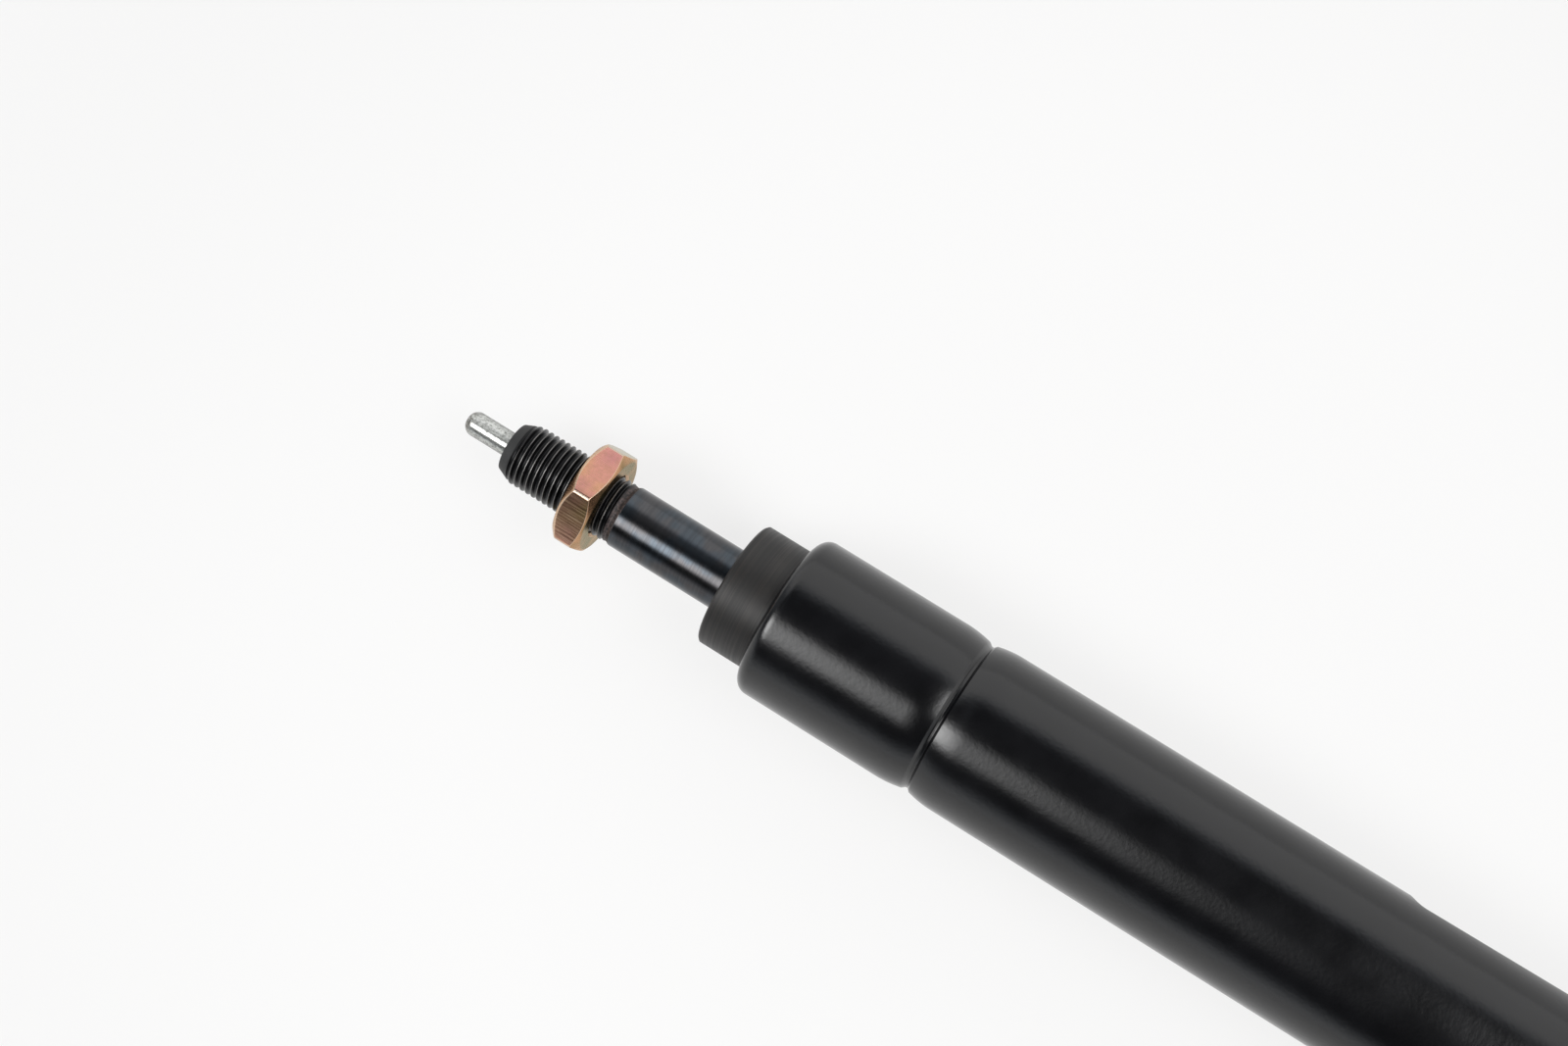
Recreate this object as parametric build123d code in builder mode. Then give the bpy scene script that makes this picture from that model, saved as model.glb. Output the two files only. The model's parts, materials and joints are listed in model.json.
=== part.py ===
# Locking gas spring: a threaded piston rod with an axial release pin, a rolled pressure tube
# and a welded rear eye. The axis is +X towards the rod's threaded end, the origin is the
# centre of the rear eye and +Z is up. Sizes are in millimetres, and are radii or lengths
# along the axis unless a name says otherwise.
from build123d import *
from math import cos, radians, tan
import os

os.makedirs("parts", exist_ok=True)

# Clearances: between fixed pieces, sliding guides and sliding seals
SEAT_GAP = 0.02
HARD_GAP = 0.10
GUIDE_CLEARANCE = 0.08
SEAL_CLEARANCE = 0.10
EDGE = 0.3

# Travel from the pose that is built
STROKE_OUT = 45.0
STROKE_IN = 15.0
PIN_TRAVEL = 2.5
STOP_GAP = 1.0

# Pressure tube, rolled inwards at both ends
TUBE_RADIUS = 13.0
TUBE_WALL = 1.5
BORE_RADIUS = TUBE_RADIUS - TUBE_WALL
TUBE_REAR = 14.0
TUBE_LENGTH = 190.0
MOUTH = TUBE_REAR + TUBE_LENGTH
ROLL_ROUND = 2.1
MOUTH_LIP_RADIUS = 10.2
REAR_LIP_RADIUS = 9.0

# Rolled groove that grips the inner guide: a gentle shoulder each side of a sharp valley
GROOVE = MOUTH - 30.0
GROOVE_REACH = 4.0
GROOVE_DEPTH = 0.95
KINK_OFFSET = 0.7
KINK_DEPTH = 0.57

# Shallow flat on the tube's -Y side, deepest at its front end
FLAT_FRONT = MOUTH - 100.0
FLAT_LENGTH = 60.0
FLAT_FRONT_DEPTH = 0.38
FLAT_REAR_DEPTH = 0.10
FLAT_FRONT_RUN_OUT = 2.2
FLAT_REAR_RUN_OUT = 0.8
FLAT_CUT_WIDTH = 12.0

# Guide bush: the collar that shows, its flange, and the recess for the wiper
COLLAR_RADIUS = 10.0
COLLAR_LENGTH = 8.0
PACK_RADIUS = BORE_RADIUS - HARD_GAP
BUSH_DEPTH = 12.0
WIPER_SEAT_RADIUS = 7.5
WIPER_SEAT_DEPTH = 3.2
BEARING_LENGTH = 12.0
BEARING_WALL = 0.95

# Wiper: a square heel and a lip that leans out along the rod
WIPER_HEEL_LENGTH = 2.4
WIPER_HEEL_RADIUS = 6.3
WIPER_ROOT_RADIUS = 5.6
WIPER_LIP_THICKNESS = 0.4

# Rod seal: a cup open to the pressure side
SEAL_LENGTH = 6.0
CUP_INNER = 7.0
CUP_OUTER = 9.5
CUP_DEPTH = 3.2
CUP_FLARE = 0.6
SEAL_LEAD = 1.4

# Washer, spacer and inner guide
WASHER_THICKNESS = 1.5
SPACER_THICKNESS = 2.0
SPACER_BORE = 5.6
GUIDE_LENGTH = 16.5
RING_LAND = 0.9

# Elastic rings pressed flat in their grooves
RING_GROOVE_WIDTH = 2.4
RING_WIDTH = 2.0
RING_HEIGHT = 1.86
RING_CORNER = 0.45

# Piston rod
ROD_RADIUS = 5.0
ROD_BORE = 2.05
ROD_BORE_EDGE = 0.25
VISIBLE_ROD = 19.74
SHOULDER_FROM_END = 20.0
ROD_END = MOUTH + COLLAR_LENGTH + VISIBLE_ROD + SHOULDER_FROM_END
NECK_FROM_END = 18.7
NECK_LENGTH = 0.75
NECK_RADIUS = 4.67
THREAD_RADIUS = 4.94
THREAD_EDGE = 0.25
NOSE_RADIUS = 4.0
BEVEL_RADIUS = 4.75
BEVEL_LENGTH = 1.35
SPIGOT_RADIUS = 4.0
SPIGOT_HEAD_RADIUS = 4.7
SPIGOT_HEAD_LENGTH = 1.2
SPIGOT_HEAD_CROWN = 0.6

# Jam nut. Nut and rod meet at the thread's middle radius, as the flanks of the thread do
NUT_ACROSS_FLATS = 16.0
NUT_THICKNESS = 5.0
NUT_FROM_END = 12.3
NUT_BEVEL_RADIUS = 7.6
NUT_BEVEL_ANGLE = 30.0
NUT_COUNTERSINK = 0.5
NUT_TURN = 3.1
THREAD_MIDDLE_RADIUS = 4.69
NUT_CLEARANCE = 0.06
NUT_END_GAP = 0.3

# Release pin and valve stem
PIN_RADIUS = 1.95
PIN_REACH = 8.25
PIN_NOSE_ROUND = 1.6
PIN_END_IN_ROD = 12.0
STEM_RADIUS = 2.0
STEM_WAIST_RADIUS = 1.4
STEM_WAIST_LENGTH = 2.8
STEM_WAIST_SLOPE = 0.6
STEM_HEAD_RADIUS = 3.4
STEM_HEAD_LENGTH = 2.0
STEM_HEAD_EDGE = 0.4
STEM_HEAD_GAP = 0.15

# Piston: buffer and stop washer, a slim ported neck, and a land with two ring grooves
BUFFER_LENGTH = 3.0
BUFFER_RADIUS = 9.0
BUFFER_CORNER = 1.0
STOP_WASHER_THICKNESS = 1.5
PISTON_LENGTH = 22.0
PISTON_RADIUS = 11.35
PISTON_NECK_RADIUS = 9.8
PISTON_NECK_LENGTH = 10.5
PISTON_NECK_SLOPE = 0.8
PISTON_WEB = 7.5
SEAL_LAND = 1.6
SEAL_GROOVE_WIDTH = 2.6
SEAL_GROOVE_DEPTH = 2.0
BAND_FROM_SEAL = 4.6
BAND_WIDTH = 3.0
BAND_DEPTH = 0.9
BLEED_HOLE_RADIUS = 1.1
BLEED_HOLES = 4

# Valve stack in the piston
VALVE_BORE = 6.5
SLEEVE_FROM_WEB = 3.2
RETAINER_LENGTH = 2.0
SEAL_POCKET = 2.1
STEM_SEAL_HEIGHT = 1.8
STEM_SEAL_CLEARANCE = 0.06
STEM_PASSAGE = 0.5
SLEEVE_PORT_RADIUS = 0.7

# Separating piston
SEPARATOR_LENGTH = 12.0
SEPARATOR_GAP = 1.6
SEPARATOR_RING_FROM_FRONT = 3.0
SEPARATOR_DISH_RADIUS = 7.0
SEPARATOR_DISH_FLOOR = 5.5
SEPARATOR_DISH_DEPTH = 4.0

# End plug with the boss that carries the eye
PLUG_LENGTH = 14.0
PLUG_RING = 8.0
BOSS_RADIUS = 8.0
BOSS_REACH = 2.0

# Rear eye, its weld and its bush
EYE_RADIUS = 9.0
EYE_WIDTH = 10.0
EYE_HOLE = 5.0
EYE_EDGE = 0.5
EYE_STEM_START = 5.0
EYE_STEM_SLIM = 4.9
EYE_STEM_RADIUS = 5.5
WELD_RADIUS = 7.0
WELD_LENGTH = 1.6
EYE_BUSH_BORE = 4.05
EYE_BUSH_LENGTH = 11.0


def half_section(*corners):
    """A closed half section in the XZ plane, from (place along the axis, radius) corners."""
    with BuildSketch(Plane.XZ) as section:
        with BuildLine():
            Polyline(*corners, close=True)
        make_face()
    return section.sketch


def box_section(start, end, inner, outer):
    """A rectangular half section from one place along the axis to another."""
    return half_section((start, inner), (end, inner), (end, outer), (start, outer))


def ring_section(centre, bottom, top):
    """The half section of an elastic ring that its groove presses flat, corners cut."""
    low = centre - RING_WIDTH / 2
    high = centre + RING_WIDTH / 2
    return half_section(
        (low, bottom + RING_CORNER),
        (low, top - RING_CORNER),
        (low + RING_CORNER, top),
        (high - RING_CORNER, top),
        (high, top - RING_CORNER),
        (high, bottom + RING_CORNER),
        (high - RING_CORNER, bottom),
        (low + RING_CORNER, bottom),
    )


def elastic_ring(centre, bottom, top):
    """An elastic ring at a place along the axis, between two radii."""
    with BuildPart() as ring:
        revolve(ring_section(centre, bottom, top), axis=Axis.X)
    return ring


def guide_band(front):
    """The thin guide ring that fills a piston's band groove and runs in the tube."""
    with BuildPart() as band:
        revolve(
            box_section(
                front - BAND_WIDTH + HARD_GAP,
                front - HARD_GAP,
                PISTON_RADIUS - BAND_DEPTH + SEAT_GAP,
                BORE_RADIUS - GUIDE_CLEARANCE,
            ),
            axis=Axis.X,
        )
    return band


def groove_corners(front, width, depth):
    """The four corners of a square groove in a piston's land, from its front edge backwards."""
    return [
        (front, PISTON_RADIUS),
        (front, PISTON_RADIUS - depth),
        (front - width, PISTON_RADIUS - depth),
        (front - width, PISTON_RADIUS),
    ]


def rolled_groove(surface):
    """Edges of the rolled groove in a wall whose radius is surface."""
    valley = (GROOVE, surface - GROOVE_DEPTH)
    kink = (GROOVE + KINK_OFFSET, surface - KINK_DEPTH)
    return [
        TangentArc((GROOVE - GROOVE_REACH, surface), valley, tangent=(1, 0), mode=Mode.PRIVATE),
        Line(valley, kink, mode=Mode.PRIVATE),
        TangentArc((GROOVE + GROOVE_REACH, surface), kink, tangent=(-1, 0), mode=Mode.PRIVATE),
    ]


# Tube: one wall of even thickness, so the bore repeats the rolled groove and both rolled ends
inner_round = ROLL_ROUND - TUBE_WALL
round_foot = TUBE_RADIUS - ROLL_ROUND
groove_rear = GROOVE - GROOVE_REACH
groove_front = GROOVE + GROOVE_REACH
flat_rear = FLAT_FRONT - FLAT_LENGTH
flat_corner = (FLAT_FRONT, -TUBE_RADIUS)
flat_foot = (FLAT_FRONT - FLAT_FRONT_RUN_OUT, FLAT_FRONT_DEPTH - TUBE_RADIUS)
with BuildPart() as pressure_tube:
    with BuildSketch(Plane.XZ):
        with BuildLine():
            Line((TUBE_REAR, REAR_LIP_RADIUS), (TUBE_REAR, round_foot))
            TangentArc((TUBE_REAR, round_foot), (TUBE_REAR + ROLL_ROUND, TUBE_RADIUS), tangent=(0, 1))
            Line((TUBE_REAR + ROLL_ROUND, TUBE_RADIUS), (groove_rear, TUBE_RADIUS))
            add(rolled_groove(TUBE_RADIUS))
            Line((groove_front, TUBE_RADIUS), (MOUTH - ROLL_ROUND, TUBE_RADIUS))
            TangentArc((MOUTH - ROLL_ROUND, TUBE_RADIUS), (MOUTH, round_foot), tangent=(1, 0))
            Polyline(
                (MOUTH, round_foot),
                (MOUTH, MOUTH_LIP_RADIUS),
                (MOUTH - TUBE_WALL, MOUTH_LIP_RADIUS),
                (MOUTH - TUBE_WALL, round_foot),
            )
            TangentArc(
                (MOUTH - TUBE_WALL, round_foot), (MOUTH - ROLL_ROUND, BORE_RADIUS), tangent=(0, 1)
            )
            Line((MOUTH - ROLL_ROUND, BORE_RADIUS), (groove_front, BORE_RADIUS))
            add(rolled_groove(BORE_RADIUS))
            Line((groove_rear, BORE_RADIUS), (TUBE_REAR + ROLL_ROUND, BORE_RADIUS))
            TangentArc(
                (TUBE_REAR + ROLL_ROUND, BORE_RADIUS),
                (TUBE_REAR + TUBE_WALL, round_foot),
                tangent=(-1, 0),
            )
            Polyline(
                (TUBE_REAR + TUBE_WALL, round_foot),
                (TUBE_REAR + TUBE_WALL, REAR_LIP_RADIUS),
                (TUBE_REAR, REAR_LIP_RADIUS),
            )
        make_face()
    revolve(axis=Axis.X)
    with BuildSketch(Plane.XY):
        with BuildLine():
            TangentArc(flat_foot, flat_corner, tangent=(1, 0))
            Polyline(
                flat_corner,
                (FLAT_FRONT, -TUBE_RADIUS - EDGE),
                (flat_rear - FLAT_REAR_RUN_OUT, -TUBE_RADIUS - EDGE),
                (flat_rear - FLAT_REAR_RUN_OUT, -TUBE_RADIUS),
                (flat_rear, FLAT_REAR_DEPTH - TUBE_RADIUS),
                flat_foot,
            )
        make_face()
    extrude(amount=FLAT_CUT_WIDTH / 2, both=True, mode=Mode.SUBTRACT)

# Guide bush: the collar stands out of the mouth and its flange sits behind the rolled lip
bush_front = MOUTH + COLLAR_LENGTH
bush_rear = MOUTH - BUSH_DEPTH
flange_front = MOUTH - TUBE_WALL - HARD_GAP / 2
bush_bore = ROD_RADIUS + EDGE
bearing_seat = ROD_RADIUS + GUIDE_CLEARANCE + BEARING_WALL
bearing_front = bush_rear + BEARING_LENGTH
wiper_foot = bush_front - WIPER_SEAT_DEPTH
with BuildPart() as guide_bush:
    revolve(
        half_section(
            (bush_front, WIPER_SEAT_RADIUS),
            (bush_front, COLLAR_RADIUS - EDGE),
            (bush_front - EDGE, COLLAR_RADIUS),
            (flange_front, COLLAR_RADIUS),
            (flange_front, PACK_RADIUS - inner_round),
            (flange_front - inner_round, PACK_RADIUS),
            (bush_rear, PACK_RADIUS),
            (bush_rear, bearing_seat),
            (bearing_front, bearing_seat),
            (bearing_front, bush_bore),
            (wiper_foot, bush_bore),
            (wiper_foot, WIPER_SEAT_RADIUS),
        ),
        axis=Axis.X,
    )

wiper_heel = wiper_foot + WIPER_HEEL_LENGTH
wiper_waist = wiper_foot + WIPER_HEEL_LENGTH / 2
with BuildPart() as wiper_ring:
    revolve(
        half_section(
            (wiper_foot, WIPER_ROOT_RADIUS),
            (wiper_foot, WIPER_SEAT_RADIUS - SEAT_GAP),
            (wiper_heel, WIPER_SEAT_RADIUS - SEAT_GAP),
            (wiper_heel, WIPER_HEEL_RADIUS),
            (wiper_waist, WIPER_ROOT_RADIUS + WIPER_LIP_THICKNESS),
            (bush_front, ROD_RADIUS + SEAL_CLEARANCE + WIPER_LIP_THICKNESS),
            (bush_front, ROD_RADIUS + SEAL_CLEARANCE),
            (wiper_waist, WIPER_ROOT_RADIUS),
        ),
        axis=Axis.X,
    )

with BuildPart() as rod_bearing:
    revolve(
        box_section(bush_rear, bearing_front, ROD_RADIUS + GUIDE_CLEARANCE, bearing_seat),
        axis=Axis.X,
    )

washer_rear = bush_rear - WASHER_THICKNESS
with BuildPart() as support_washer:
    revolve(box_section(washer_rear, bush_rear, bush_bore, PACK_RADIUS), axis=Axis.X)

# Rod seal: heel against the washer, lip on the rod, and a cup that holds the energiser
seal_rear = washer_rear - SEAL_LENGTH
with BuildPart() as rod_seal:
    revolve(
        half_section(
            (washer_rear, ROD_RADIUS + SEAL_CLEARANCE),
            (washer_rear, BORE_RADIUS - SEAT_GAP),
            (seal_rear, BORE_RADIUS - SEAT_GAP),
            (seal_rear, CUP_OUTER),
            (seal_rear + CUP_DEPTH, CUP_OUTER),
            (seal_rear + CUP_DEPTH, CUP_INNER),
            (seal_rear, CUP_INNER - CUP_FLARE),
            (seal_rear, CUP_INNER - 2 * CUP_FLARE),
            (seal_rear + SEAL_LEAD, ROD_RADIUS + SEAL_CLEARANCE),
        ),
        axis=Axis.X,
    )
seal_energiser = elastic_ring(seal_rear + CUP_DEPTH - RING_WIDTH / 2, CUP_INNER, CUP_OUTER)

spacer_rear = seal_rear - SPACER_THICKNESS
with BuildPart() as seal_spacer:
    revolve(box_section(spacer_rear, seal_rear, SPACER_BORE, PACK_RADIUS), axis=Axis.X)

# Inner guide: the tube's rolled groove closes into the same groove here
guide_rear = spacer_rear - GUIDE_LENGTH
ring_front = spacer_rear - RING_LAND
ring_rear = ring_front - RING_GROOVE_WIDTH
ring_bottom = BORE_RADIUS - RING_HEIGHT
groove_bottom = ring_bottom - SEAT_GAP
with BuildPart() as inner_guide:
    with BuildSketch(Plane.XZ):
        with BuildLine():
            Polyline(
                (groove_front, PACK_RADIUS),
                (ring_rear, PACK_RADIUS),
                (ring_rear, groove_bottom),
                (ring_front, groove_bottom),
                (ring_front, PACK_RADIUS),
                (spacer_rear, PACK_RADIUS),
                (spacer_rear, ROD_RADIUS + GUIDE_CLEARANCE),
                (guide_rear, ROD_RADIUS + GUIDE_CLEARANCE),
                (guide_rear, PACK_RADIUS - EDGE),
                (guide_rear + EDGE, PACK_RADIUS),
                (groove_rear, PACK_RADIUS),
            )
            add(rolled_groove(PACK_RADIUS))
        make_face()
    revolve(axis=Axis.X)
guide_o_ring = elastic_ring((ring_front + ring_rear) / 2, ring_bottom, BORE_RADIUS - SEAT_GAP)

# Piston stack: the buffer meets the inner guide when the rod is fully out
buffer_front = guide_rear - STOP_GAP - STROKE_OUT
buffer_rear = buffer_front - BUFFER_LENGTH
piston_front = buffer_rear - STOP_WASHER_THICKNESS
piston_rear = piston_front - PISTON_LENGTH
web_rear = piston_front - PISTON_WEB
with BuildPart() as rebound_buffer:
    revolve(
        half_section(
            (buffer_rear, ROD_RADIUS + SEAT_GAP),
            (buffer_front, ROD_RADIUS + SEAT_GAP),
            (buffer_front, BUFFER_RADIUS - BUFFER_CORNER),
            (buffer_front - BUFFER_CORNER, BUFFER_RADIUS),
            (buffer_rear, BUFFER_RADIUS),
        ),
        axis=Axis.X,
    )

with BuildPart() as rebound_washer:
    revolve(
        box_section(piston_front, buffer_rear, SPIGOT_RADIUS + SEAT_GAP, PISTON_NECK_RADIUS),
        axis=Axis.X,
    )

# Rod: bevelled nose, plain stand-in for the thread on each side of the nut's seat, neck,
# shoulder, body, and a spigot that is headed over inside the piston
nut_front = ROD_END - NUT_FROM_END
nut_rear = nut_front - NUT_THICKNESS
neck_front = ROD_END - NECK_FROM_END
shoulder_front = ROD_END - SHOULDER_FROM_END
bevel_end = ROD_END - BEVEL_LENGTH
head_rear_face = web_rear - SPIGOT_HEAD_LENGTH
with BuildPart() as piston_rod:
    revolve(
        half_section(
            (ROD_END, ROD_BORE + ROD_BORE_EDGE),
            (ROD_END, NOSE_RADIUS),
            (bevel_end, BEVEL_RADIUS),
            (bevel_end - THREAD_EDGE, THREAD_RADIUS),
            (nut_front + NUT_END_GAP, THREAD_RADIUS),
            (nut_front + NUT_END_GAP, THREAD_MIDDLE_RADIUS),
            (nut_rear - NUT_END_GAP, THREAD_MIDDLE_RADIUS),
            (nut_rear - NUT_END_GAP, THREAD_RADIUS),
            (neck_front + THREAD_EDGE, THREAD_RADIUS),
            (neck_front, NECK_RADIUS),
            (neck_front - NECK_LENGTH, NECK_RADIUS),
            (shoulder_front, ROD_RADIUS),
            (buffer_rear, ROD_RADIUS),
            (buffer_rear, SPIGOT_RADIUS),
            (web_rear, SPIGOT_RADIUS),
            (web_rear, SPIGOT_HEAD_RADIUS),
            (head_rear_face, SPIGOT_HEAD_RADIUS - SPIGOT_HEAD_CROWN),
            (head_rear_face, ROD_BORE),
            (ROD_END - ROD_BORE_EDGE, ROD_BORE),
        ),
        axis=Axis.X,
    )

# Piston: ported neck in front, seal and guide band on the land, bore for the valve behind
neck_rear = piston_front - PISTON_NECK_LENGTH
seal_front = neck_rear - SEAL_LAND
band_front = seal_front - BAND_FROM_SEAL
bleed_place = web_rear - BLEED_HOLE_RADIUS - HARD_GAP
with BuildPart() as piston_body:
    revolve(
        half_section(
            (piston_front, SPIGOT_RADIUS + SEAT_GAP),
            (piston_front, PISTON_NECK_RADIUS),
            (neck_rear + PISTON_NECK_SLOPE, PISTON_NECK_RADIUS),
            (neck_rear, PISTON_RADIUS),
            *groove_corners(seal_front, SEAL_GROOVE_WIDTH, SEAL_GROOVE_DEPTH),
            *groove_corners(band_front, BAND_WIDTH, BAND_DEPTH),
            (piston_rear, PISTON_RADIUS),
            (piston_rear, VALVE_BORE),
            (web_rear, VALVE_BORE),
            (web_rear, SPIGOT_RADIUS + SEAT_GAP),
        ),
        axis=Axis.X,
    )
    for hole in range(BLEED_HOLES):
        side = Plane.XY.rotated((hole * 360 / BLEED_HOLES, 0, 0))
        with BuildSketch(side):
            with Locations((bleed_place, 0)):
                Circle(BLEED_HOLE_RADIUS)
        extrude(amount=PISTON_RADIUS, mode=Mode.SUBTRACT)
seal_bottom = PISTON_RADIUS - SEAL_GROOVE_DEPTH + SEAT_GAP
seal_top = BORE_RADIUS - GUIDE_CLEARANCE
piston_seal = elastic_ring(seal_front - SEAL_GROOVE_WIDTH / 2, seal_bottom, seal_top)
piston_wear_ring = guide_band(band_front)

# Valve stack behind the rod's head: a ported sleeve with a stem seal at each end, and a
# retainer that closes the piston's bore
sleeve_front = web_rear - SLEEVE_FROM_WEB
sleeve_rear = piston_rear + RETAINER_LENGTH
stem_passage = STEM_RADIUS + STEM_PASSAGE
stem_seal_bottom = STEM_RADIUS + STEM_SEAL_CLEARANCE
stem_seal_top = stem_seal_bottom + STEM_SEAL_HEIGHT
pocket_radius = stem_seal_top + SEAT_GAP
valve_fit = VALVE_BORE - SEAT_GAP
with BuildPart() as valve_sleeve:
    revolve(
        half_section(
            (sleeve_front, pocket_radius),
            (sleeve_front, valve_fit),
            (sleeve_rear, valve_fit),
            (sleeve_rear, pocket_radius),
            (sleeve_rear + SEAL_POCKET, pocket_radius),
            (sleeve_rear + SEAL_POCKET, stem_passage),
            (sleeve_front - SEAL_POCKET, stem_passage),
            (sleeve_front - SEAL_POCKET, pocket_radius),
        ),
        axis=Axis.X,
    )
    with BuildSketch(Plane.XY):
        with Locations(((sleeve_front + sleeve_rear) / 2, 0)):
            Circle(SLEEVE_PORT_RADIUS)
    extrude(amount=VALVE_BORE, both=True, mode=Mode.SUBTRACT)

with BuildPart() as valve_o_rings:
    for place in (sleeve_front - SEAL_POCKET / 2, sleeve_rear + SEAL_POCKET / 2):
        revolve(ring_section(place, stem_seal_bottom, stem_seal_top), axis=Axis.X)

with BuildPart() as valve_retainer:
    revolve(box_section(piston_rear, sleeve_rear, stem_passage, valve_fit), axis=Axis.X)

# Release pin, with a round nose that is a little flat at its tip
pin_tip = ROD_END + PIN_REACH
pin_rear = web_rear + PIN_END_IN_ROD
nose_start = (pin_tip - PIN_NOSE_ROUND, PIN_RADIUS)
nose_flat = (pin_tip, PIN_RADIUS - PIN_NOSE_ROUND)
with BuildPart() as release_pin:
    with BuildSketch(Plane.XZ):
        with BuildLine():
            Polyline((pin_tip, 0), (pin_rear, 0), (pin_rear, PIN_RADIUS), nose_start)
            TangentArc(nose_start, nose_flat, tangent=(1, 0))
            Line(nose_flat, (pin_tip, 0))
        make_face()
    revolve(axis=Axis.X)

# Valve stem: pressed by the pin, its waist bridges the rear stem seal and opens the way
head_front = piston_rear - STEM_HEAD_GAP
head_rear = head_front - STEM_HEAD_LENGTH
waist_rear = sleeve_rear + SEAL_POCKET + STEM_WAIST_SLOPE
waist_front = waist_rear + STEM_WAIST_LENGTH
with BuildPart() as valve_stem:
    revolve(
        half_section(
            (pin_rear, 0),
            (pin_rear, STEM_RADIUS),
            (waist_front + STEM_WAIST_SLOPE, STEM_RADIUS),
            (waist_front, STEM_WAIST_RADIUS),
            (waist_rear, STEM_WAIST_RADIUS),
            (waist_rear - STEM_WAIST_SLOPE, STEM_RADIUS),
            (head_front, STEM_RADIUS),
            (head_front, STEM_HEAD_RADIUS),
            (head_rear + STEM_HEAD_EDGE, STEM_HEAD_RADIUS),
            (head_rear, STEM_HEAD_RADIUS - STEM_HEAD_EDGE),
            (head_rear, 0),
        ),
        axis=Axis.X,
    )

# Jam nut: a hexagon prism cut by the cones that bevel its corners, one corner nearly on top
corner_radius = NUT_ACROSS_FLATS / 2 / cos(radians(30))
bevel_drop = (corner_radius - NUT_BEVEL_RADIUS) * tan(radians(NUT_BEVEL_ANGLE))
nut_bore = THREAD_MIDDLE_RADIUS + NUT_CLEARANCE
nut_mouth = nut_bore + NUT_COUNTERSINK
with BuildPart() as jam_nut:
    with BuildSketch(Plane.YZ.offset(nut_rear)):
        RegularPolygon(NUT_ACROSS_FLATS / 2, 6, major_radius=False, rotation=90 - NUT_TURN)
    extrude(amount=NUT_THICKNESS)
    revolve(
        half_section(
            (nut_rear, 0),
            (nut_rear, NUT_BEVEL_RADIUS),
            (nut_rear + bevel_drop, corner_radius),
            (nut_front - bevel_drop, corner_radius),
            (nut_front, NUT_BEVEL_RADIUS),
            (nut_front, 0),
        ),
        axis=Axis.X,
        mode=Mode.INTERSECT,
    )
    revolve(
        half_section(
            (nut_rear, 0),
            (nut_rear, nut_mouth),
            (nut_rear + NUT_COUNTERSINK, nut_bore),
            (nut_front - NUT_COUNTERSINK, nut_bore),
            (nut_front, nut_mouth),
            (nut_front, 0),
        ),
        axis=Axis.X,
        mode=Mode.SUBTRACT,
    )

# Separating piston: it moves by the rod's share of the bore's area, and stays clear of the
# pressed valve stem when the rod is fully in
oil_share = (ROD_RADIUS / BORE_RADIUS) ** 2
separator_front = head_rear - PIN_TRAVEL - STROKE_IN * (1 - oil_share) - SEPARATOR_GAP
separator_rear = separator_front - SEPARATOR_LENGTH
separator_ring = separator_front - SEPARATOR_RING_FROM_FRONT
separator_band = separator_ring - BAND_FROM_SEAL
with BuildPart() as separating_piston:
    revolve(
        half_section(
            (separator_front, 0),
            (separator_front, PISTON_RADIUS - EDGE),
            (separator_front - EDGE, PISTON_RADIUS),
            *groove_corners(separator_ring, SEAL_GROOVE_WIDTH, SEAL_GROOVE_DEPTH),
            *groove_corners(separator_band, BAND_WIDTH, BAND_DEPTH),
            (separator_rear, PISTON_RADIUS),
            (separator_rear, SEPARATOR_DISH_RADIUS),
            (separator_rear + SEPARATOR_DISH_DEPTH, SEPARATOR_DISH_FLOOR),
            (separator_rear + SEPARATOR_DISH_DEPTH, 0),
        ),
        axis=Axis.X,
    )
separating_o_ring = elastic_ring(separator_ring - SEAL_GROOVE_WIDTH / 2, seal_bottom, seal_top)
separating_wear_ring = guide_band(separator_band)

# End plug: held by the rolled rear edge, with a boss that stands out for the eye
plug_rear = TUBE_REAR + TUBE_WALL + HARD_GAP / 2
plug_front = plug_rear + PLUG_LENGTH
plug_ring = plug_rear + PLUG_RING
boss_rear = TUBE_REAR - BOSS_REACH
with BuildPart() as end_plug:
    revolve(
        half_section(
            (boss_rear, 0),
            (boss_rear, BOSS_RADIUS - EDGE),
            (boss_rear + EDGE, BOSS_RADIUS),
            (plug_rear, BOSS_RADIUS),
            (plug_rear, PACK_RADIUS - inner_round),
            (plug_rear + inner_round, PACK_RADIUS),
            (plug_ring - RING_GROOVE_WIDTH, PACK_RADIUS),
            (plug_ring - RING_GROOVE_WIDTH, groove_bottom),
            (plug_ring, groove_bottom),
            (plug_ring, PACK_RADIUS),
            (plug_front - EDGE, PACK_RADIUS),
            (plug_front, PACK_RADIUS - EDGE),
            (plug_front, 0),
        ),
        axis=Axis.X,
    )
end_plug_o_ring = elastic_ring(
    plug_ring - RING_GROOVE_WIDTH / 2, ring_bottom, BORE_RADIUS - SEAT_GAP
)

# Rear eye: a ring with a stem, welded all round to the boss
with BuildPart() as rear_eye:
    with BuildSketch(Plane.XZ):
        Circle(EYE_RADIUS)
    extrude(amount=EYE_WIDTH / 2, both=True)
    chamfer(rear_eye.edges().filter_by(GeomType.CIRCLE), EYE_EDGE)
    revolve(
        half_section(
            (EYE_STEM_START, 0),
            (EYE_STEM_START, EYE_STEM_SLIM),
            (boss_rear - WELD_LENGTH, EYE_STEM_RADIUS),
            (boss_rear, WELD_RADIUS),
            (boss_rear, 0),
        ),
        axis=Axis.X,
    )
    with BuildSketch(Plane.XZ):
        Circle(EYE_HOLE)
    extrude(amount=EYE_WIDTH, both=True, mode=Mode.SUBTRACT)

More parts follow.
